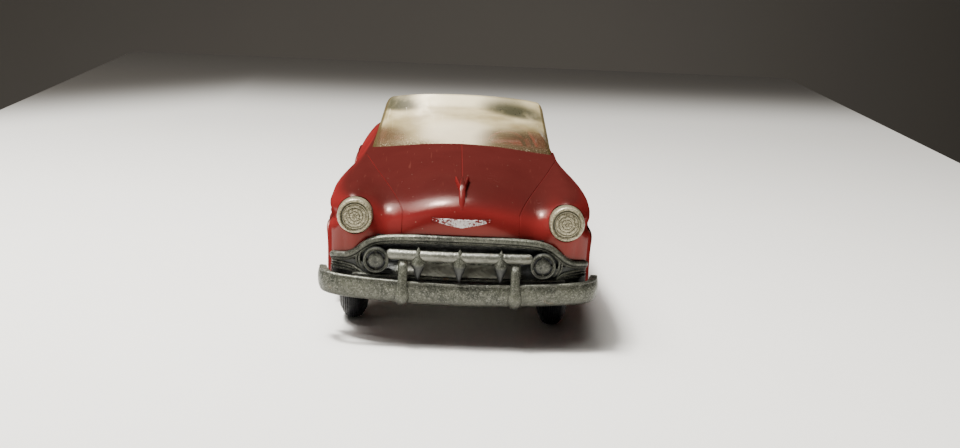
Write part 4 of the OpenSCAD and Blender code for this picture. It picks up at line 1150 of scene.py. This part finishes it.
def bead_lens(c, front):
    """Lens of beads in rings: its points, faces and shade."""
    rings, around, pitch, size = 66, 288, 0.88, 3.64
    radius = np.linspace(0.02, size, rings)
    a = np.linspace(0, 2 * math.pi, around, endpoint=False)
    rr, aa = np.meshgrid(radius, a, indexing="ij")
    ring = np.round(rr / pitch)
    count = np.maximum(1, np.round(2 * math.pi * ring * pitch / 0.42))
    step = aa * count / (2 * math.pi) + 0.37 * ring
    dr = (rr / pitch - ring) * 2
    da = (step - np.round(step)) * 2
    dome = np.sqrt(np.clip(1 - 0.85 * dr**4 - np.where(ring > 0, 0.5 * da**2, 0), 0, 1))
    uneven = 0.75 + 0.25 * np.sin(aa * 5 + ring * 2.1) * np.cos(aa * 3 - ring)
    height = 0.62 - 0.42 * (rr / size) ** 2 + 0.3 * dome * uneven
    lens = np.stack([c.x + rr * np.cos(aa), front + 1.25 - height, c.z + rr * np.sin(aa)], -1).reshape(-1, 3)
    # painted shade between the beads, and round the lens edge under the bezel
    shade = np.clip(1.15 - 1.6 * dome * uneven, 0, 0.85).ravel() * 0.9
    shade = np.maximum(shade, smooth(rr, 3.15, 3.45).ravel() * overhung(lens, c))
    return lens, grid_faces(rings, around, close_cols=True), shade


def make_headlamp(hand):
    lo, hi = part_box(f"headlamp_{hand}")
    c, r = middle(lo, hi)
    front = lo.y / MM
    lamp = Shells()
    # bezel, from the lens edge round to the back
    profile = [[3.62, -1.35], [3.72, -0.75], [3.84, -0.42], [4.1, -0.22], [4.4, -0.3], [r - 0.12, -0.62],
               [r, -1.1], [r, -3.8], [0, -3.8]]
    # painted shade where the bezel turns in to the lens and on its back, more of it under the upper left
    shade = [1, 0.75, 0.15, 0, 0, 0.1, 0.35, 0.6, 0.6]
    v, f, s = turned(profile, 96, (c.x, front, c.z), (0, -1, 0), shade)
    lamp.add(v, f, s * np.where(np.hypot(v[:, 0] - c.x, v[:, 2] - c.z) < 3.9, overhung(v, c), 1))
    lamp.add(*bead_lens(c, front))
    return lamp.object(f"headlamp_lens_{hand}", 50)


def make_tail_lamp(hand):
    lo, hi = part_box(f"tail_lamp_{hand}")
    c, r = middle(lo, hi)
    back = hi.y / MM
    profile = [[0.02, 0], [0.45, -0.02], [0.8, -0.14], [0.92, -0.2], [1.05, -0.14], [1.5, -0.32],
               [1.68, -0.42], [1.8, -0.36], [2.05, -0.56], [r - 0.04, -0.85], [r, -1.3], [r, -3.9],
               [0.02, -3.9]]
    return Shells().add(*turned(profile, 64, (c.x, back, c.z), (0, 1, 0))).object(f"tail_lens_{hand}", 40)


# ---- wheels -------------------------------------------------------------------------------------

# crowned tyre: share of its half width, and how far in from its outer radius it is there
CROWN = [(0, 0), (0.2, 0.02), (0.42, 0.2), (0.57, 0.6), (0.73, 1.4), (0.87, 2.4), (0.98, 3.6)]


def make_tyre(node):
    lo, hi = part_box(node)
    c, h = middle(lo, hi)
    r = (hi.z - lo.z) / 2 / MM
    share = np.linspace(0.9, -0.9, 145)
    inset = np.interp(np.abs(share), *zip(*CROWN))
    rib = 0.5 - 0.5 * np.cos(2 * math.pi * share * 11 / 1.8 + math.pi)
    inset = inset + 0.3 * smooth(rib, 0.62, 0.85) * smooth(np.abs(share), 0.88, 0.84)
    tread = np.stack([r - inset, share * h], -1)
    wall = [[8.45, 0.9 * h], [8.7, 0.94 * h], [9.1, 0.97 * h], [9.5, 0.995 * h], [9.9, 0.985 * h], [10.1, h],
            [10.4, 0.98 * h], [11.0, 0.95 * h]]
    profile = np.concatenate([wall, tread, [[a, -b] for a, b in wall[::-1]]])
    # painted shade in the grooves between the ribs
    shade = np.zeros(len(profile))
    shade[len(wall):-len(wall)] = smooth(rib, 0.6, 0.85)
    tyre = Shells().add(*turned(profile, 128, c, (1, 0, 0), shade, closed=True))
    obj = tyre.object(node.replace("tyre", "ribbed_tyre"), 35)
    outward(obj)
    return obj


def make_wheel(node):
    lo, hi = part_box(node)
    c, _ = middle(lo, hi)
    side = 1 if c.x > 0 else -1
    tyre_lo, tyre_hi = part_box(node.replace("wheel", "tyre"))
    tyre, h = middle(tyre_lo, tyre_hi)
    rim = (hi.z - lo.z) / 2 / MM
    front = [[1.35, 2.2], [2.2, 2.55], [3.2, 2.5], [3.9, 2.2], [4.4, 1.75], [4.6, 1.2], [4.85, 0.95],
             [5.2, 1.1], [5.8, 1.35], [6.3, 1.2], [6.6, 0.9], [6.9, 1.0], [7.25, 1.9],
             [7.4, h - 0.35], [7.75, h - 0.05], [rim, h - 0.1], [rim, h - 0.8]]
    # painted shade in the folds of the disc, and over its back
    shade = [0.2, 0, 0, 0, 0.1, 0.5, 0.8, 0.3, 0, 0.1, 0.5, 0.7, 0.3, 0, 0, 0.2, 0.6]
    back = [[rim, -h + 0.1], [7.4, -h + 0.1], [7.2, -0.8], [2.6, -0.8], [2.6, -2.5], [1.35, -2.5]]
    disc = turned(front + back, 96, (tyre.x, c.y, c.z), (side, 0, 0), shade + [0.6] * len(back), closed=True)
    obj = Shells().add(*disc).object(node.replace("wheel", "wheel_disc"), 35)
    outward(obj)
    return obj


# ---- interior -----------------------------------------------------------------------------------

def make_bench(node, back_top):
    """A bench seat with fluted cushion and back, over its CAD solid."""
    lo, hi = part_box(node)
    y0, y1, z0 = lo.y / MM, hi.y / MM, lo.z / MM
    half = hi.x / MM
    outline = [(z0, y0 + 0.1), (26.0, y0), (27.5, y0 + 0.5), (28.1, y0 + 1.6), (27.7, y0 + 4),
               (26.9, y1 - 6.2), (26.8, y1 - 5.2), (27.8, y1 - 4.4), (31, y1 - 3.8),
               (back_top - 2.0, y1 - 3.2), (back_top - 0.7, y1 - 2.8), (back_top - 0.1, y1 - 1.9),
               (back_top - 0.15, y1 - 0.9), (back_top - 1.0, y1 - 0.1), (back_top - 3, y1), (z0, y1)]
    section = []
    for a, b in zip(np.array(outline), np.array(outline[1:])):
        section += [a + (b - a) * t for t in np.linspace(0, 1, 5, endpoint=False)]
    section = np.array(section + [outline[-1]])
    plain = 2.2
    pitch = 2 * (half - plain) / 14
    rings = []
    centre = np.array([22.0, (y0 + y1) / 2])
    for xx in np.linspace(-half, half, 181):
        phase = (xx + half - plain) / pitch
        inside = plain < xx + half < 2 * half - plain
        flute = -0.42 * (abs(math.cos(math.pi * phase)) ** 8) if inside else 0.0
        edge = min(xx + half, half - xx)
        pull = -0.9 * max(0.0, 1 - edge / 0.9) ** 2
        z, y = section.T
        seat = smooth(z, 24.5, 26.2) * smooth(y, y1 - 1.6, y1 - 2.6)
        rim = smooth(z, back_top - 0.4, back_top - 1.6) + smooth(y, y1 - 6, y1 - 8)
        out = (flute * seat * np.clip(rim, 0, 1) + pull)[:, None]
        s = section + out * unit(section - centre)
        rings.append(np.stack([np.full(len(s), xx), s[:, 1], s[:, 0]], -1))
    obj = Shells().rings(rings).object(node.replace("seat", "bench"), 50)
    outward(obj)
    return obj


def make_dashboard():
    lo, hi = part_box("dashboard")
    y0, y1, z0, z1, half = lo.y / MM, hi.y / MM, lo.z / MM, hi.z / MM, hi.x / MM
    section = [(y0, z0), (y0, z1), (y1 - 1.4, z1), (y1 - 0.6, z1 - 0.35), (y1 - 0.05, z1 - 1.1),
               (y1, z1 - 1.8), (y1 - 0.4, z1 - 2.3), (y1 - 0.6, z1 - 2.9), (y1 - 0.9, z0 + 0.7),
               (y1 - 1.3, z0)]
    x = np.linspace(-half, half, 46)
    dash = Shells().rings([[[xx, y, z] for y, z in section] for xx in x])
    # two round dials ahead of the driver and a glove box panel, all moulded
    for cx, r in ((12.4, 1.35), (16.8, 1.35), (0, 1.0)):
        dial = [[0.02, 0.1], [r * 0.7, 0.1], [r * 0.78, 0.3], [r, 0.3], [r + 0.1, 0], [r + 0.1, -0.6]]
        dash.add(*turned(dial, 40, (cx, y1 - 0.55, z1 - 3.1), (0, 1, -0.1)))
    panel = rounded_outline([(-17, z0 + 1.1), (-8, z0 + 1.1), (-8, z1 - 2.6), (-17, z1 - 2.6)], 0.6)
    dash.rings([[[a, y, b] for a, b in panel] for y in (y1 - 1.6, y1 - 0.45)])
    return dash.object("moulded_dashboard", 40)


def make_steering_wheel():
    centre = np.array([14.5, -13.3, 40.5])
    lean = math.radians(14)
    axis = np.array([0, math.cos(lean), math.sin(lean)])
    side = np.array([1.0, 0, 0])
    up = np.cross(side, axis) * -1
    if up[2] < 0:
        up = -up
    s = Shells()
    a = np.linspace(0, 2 * math.pi, 96, endpoint=False)
    section = circle(1, 14)

    def hoop(radius, lift, size):
        ring = centre + lift * axis + radius * (np.cos(a)[:, None] * side + np.sin(a)[:, None] * up)
        out = unit(ring - centre)[:, None]
        s.loop(ring[:, None] + size * (section[None, :, :1] * out + section[None, :, 1:] * axis))

    # rim with finger grips
    hoop(6.4, 0, (0.62 + 0.05 * np.cos(24 * a))[:, None, None])
    for angle in (-18, 198, 270):
        t = math.radians(angle)
        d = math.cos(t) * side + math.sin(t) * up
        path = curve([centre - 0.9 * axis, centre + 2.0 * d - 0.7 * axis, centre + 4.6 * d - 0.15 * axis,
                      centre + 6.3 * d], 16)
        s.rings(sweep_rings(path, [[0.5 * p[0], 0.32 * p[1]] for p in circle(1, 10)], np.tile(axis, (16, 1))))
    hub = [[0.02, 0.62], [0.7, 0.55], [1.2, 0.3], [1.5, -0.1], [1.6, -0.8], [1.3, -1.3], [0.02, -1.3]]
    s.add(*turned(hub, 40, centre, axis))
    # horn ring
    hoop(2.9, 0.25, 0.2)
    return s.object("spoked_steering_wheel", 50)


# ---- put together -------------------------------------------------------------------------------

MATERIALS = {
    "red_plastic": red_plastic(),
    "clear_plastic": clear_plastic(),
    "casting": casting(),
    "lamp_lens": lamp_lens(),
    "tail_lens": tail_lens(),
    "tyre_rubber": tyre_rubber(),
    "wheel_plate": wheel_plate(),
    "tinplate": bare_metal("tinplate_tarnished", (0.22, 0.21, 0.2), (0.46, 0.45, 0.43)),
    "steel": bare_metal("steel_turned", (0.28, 0.27, 0.26), (0.5, 0.49, 0.47), brushed=(0.1, 1, 1)),
    "gear_metal": bare_metal("brass_stamped", (0.34, 0.23, 0.08), (0.62, 0.46, 0.19), (0.28, 0.45)),
    "flywheel_metal": bare_metal("flywheel_turned", (0.09, 0.09, 0.09), (0.22, 0.22, 0.22), (0.4, 0.55)),
}


def finish_piece(obj, body, node, slot):
    obj.data.materials.clear()
    obj.data.materials.append(MATERIALS[slot])
    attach(obj, body)
    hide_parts(node)


finish_piece(make_body(), "car", "body_shell", "red_plastic")
finish_piece(make_windscreen(), "car", "windscreen", "clear_plastic")
finish_piece(make_grille(), "car", "grille", "casting")
finish_piece(make_bumper("bumper_bar_front", "front"), "car", "front_bumper", "casting")
finish_piece(make_bumper("bumper_bar_rear", "rear"), "car", "rear_bumper", "casting")
for hand in ("left", "right"):
    finish_piece(make_headlamp(hand), "car", f"headlamp_{hand}", "lamp_lens")
    finish_piece(make_tail_lamp(hand), "car", f"tail_lamp_{hand}", "tail_lens")
    for end in ("front", "rear"):
        finish_piece(make_tyre(f"{end}_tyre_{hand}"), f"{end}_axle", f"{end}_tyre_{hand}", "tyre_rubber")
        finish_piece(make_wheel(f"{end}_wheel_{hand}"), f"{end}_axle", f"{end}_wheel_{hand}", "wheel_plate")
finish_piece(make_bench("front_seat", 38.6), "car", "front_seat", "red_plastic")
finish_piece(make_bench("rear_seat", 37.4), "car", "rear_seat", "red_plastic")
finish_piece(make_dashboard(), "car", "dashboard", "red_plastic")
finish_piece(make_steering_wheel(), "car", "steering_wheel", "red_plastic")

# CAD nodes that keep their own shape get the same finishes
for part in frame["record"]["subparts"]:
    node = frame["nodes"][part["node"]]
    if not node.hide_render:
        node.data.materials.clear()
        node.data.materials.append(MATERIALS[part["material_slot"]])


# ---- stage, light and camera --------------------------------------------------------------------

def table_top():
    """Pale table: it runs out behind the camera in front and ends behind the car."""
    s = Shells()
    outline = rounded_outline([(-245, -900), (262, -900), (258, 665), (-238, 655)], 12, 8)
    s.rings([[[x, y, z] for x, y in outline] for z in (-4, -0.6)] +
            [[[x * 0.999, y, 0.0] for x, y in outline]])
    top = s.object("stage_table", 30)
    p = Paint("stage_paper")
    tone = p.mix(p.noise(60, 3), (0.86, 0.845, 0.80), (0.90, 0.89, 0.85))
    mark = p.ramp(p.noise(5, 4, 0.7, stretch=(1, 0.3, 1), shift=4.4), 0.72, 0.8, 0, 0.35)
    base = p.mix(mark, tone, (0.45, 0.43, 0.41))
    x, y, _ = p.axes()
    # painted falloff of light: paler in front, darker to the right, and dark beyond a soft edge behind the car
    painted_falloff = p.ramp(p.add(y, p.mul(x, 0.5)), -0.2, 0.45, 0.0, 0.45)
    base = p.mix(painted_falloff, base, (0.30, 0.29, 0.275))
    left = p.mul(p.math("MAXIMUM", p.sub(-0.13, x), 0.0), 1.1)
    far = p.add(p.sub(y, p.mul(x, 0.09)), left)
    near = p.sub(1.0, p.ramp(far, 0.36, 0.66))
    base = p.mix(p.sub(1.0, p.math("POWER", near, 3.0)), base, (0.065, 0.06, 0.053))
    p.set(Base_Color=base, Roughness=0.65, Specular_IOR_Level=0.25)
    p.bump(p.noise(1.5, 4), 0.03, 0.3)
    top.data.materials.append(p.mat)
    return top


def backdrop():
    """Dark room behind and below the table."""
    s = Shells()
    half, far, low = 3000, 1500, -500
    s.add([[-half, -half, low], [half, -half, low], [half, far, low], [-half, far, low],
           [-half, far, 2000], [half, far, 2000]], [(0, 1, 2, 3), (3, 2, 5, 4)])
    wall = s.object("stage_room", 30)
    p = Paint("stage_dark")
    # painted falloff of light: the room is darker to the right
    right = p.ramp(p.axes()[0], 0.1, 0.9)
    base = p.mix(p.noise(300, 3), (0.25, 0.23, 0.205), (0.29, 0.265, 0.235))
    p.set(Base_Color=p.mix(right, base, (0.135, 0.122, 0.105)), Roughness=0.9)
    wall.data.materials.append(p.mat)
    return wall


table_top()
backdrop()


def area_light(name, towards, distance, size, power, colour):
    """A soft square light that shines at the car from a direction."""
    data = bpy.data.lights.new(name, "AREA")
    data.size, data.energy, data.color = size, power, colour
    light = bpy.data.objects.new(name, data)
    bpy.context.scene.collection.objects.link(light)
    aim = Vector((0, -0.09, 0.03))
    light.location = aim + Vector(towards).normalized() * distance
    light.rotation_euler = (aim - light.location).to_track_quat("-Z", "Y").to_euler()


OVERHEAD = (-0.31, 0.105, 1.0)
WARM = (1.0, 0.98, 0.945)
area_light("key", OVERHEAD, 0.7, 0.13, 12.0, WARM)
area_light("soft", OVERHEAD, 0.7, 0.5, 8.5, WARM)
area_light("left", (-0.75, -0.6, 0.4), 1.0, 0.6, 0.8, (1.0, 0.985, 0.96))
world = bpy.data.worlds.new("room")
world.use_nodes = True
room = world.node_tree.nodes["Background"].inputs
room["Color"].default_value = (1.0, 0.97, 0.93, 1)
room["Strength"].default_value = 0.012
bpy.context.scene.world = world


def photo_camera():
    """The photo's camera, as it was solved from the photo."""
    pan, tilt, roll = (math.radians(a) for a in (1.74, 11.66, 2.65))
    fwd = Vector((math.sin(pan) * math.cos(tilt), math.cos(pan) * math.cos(tilt), -math.sin(tilt)))
    right = Vector((math.cos(pan), -math.sin(pan), 0))
    up = right.cross(fwd)
    r = math.cos(roll) * right + math.sin(roll) * up
    u = -math.sin(roll) * right + math.cos(roll) * up
    data = bpy.data.cameras.new("photo_camera")
    data.lens, data.sensor_width = 56.96, 36
    data.clip_start, data.clip_end = 0.01, 30
    cam = bpy.data.objects.new("photo_camera", data)
    bpy.context.scene.collection.objects.link(cam)
    m = Matrix((r, u, -fwd)).transposed().to_4x4()
    m.translation = Vector((-0.0070, -0.4907, 0.1150))
    cam.matrix_world = m
    bpy.context.scene.camera = cam


photo_camera()
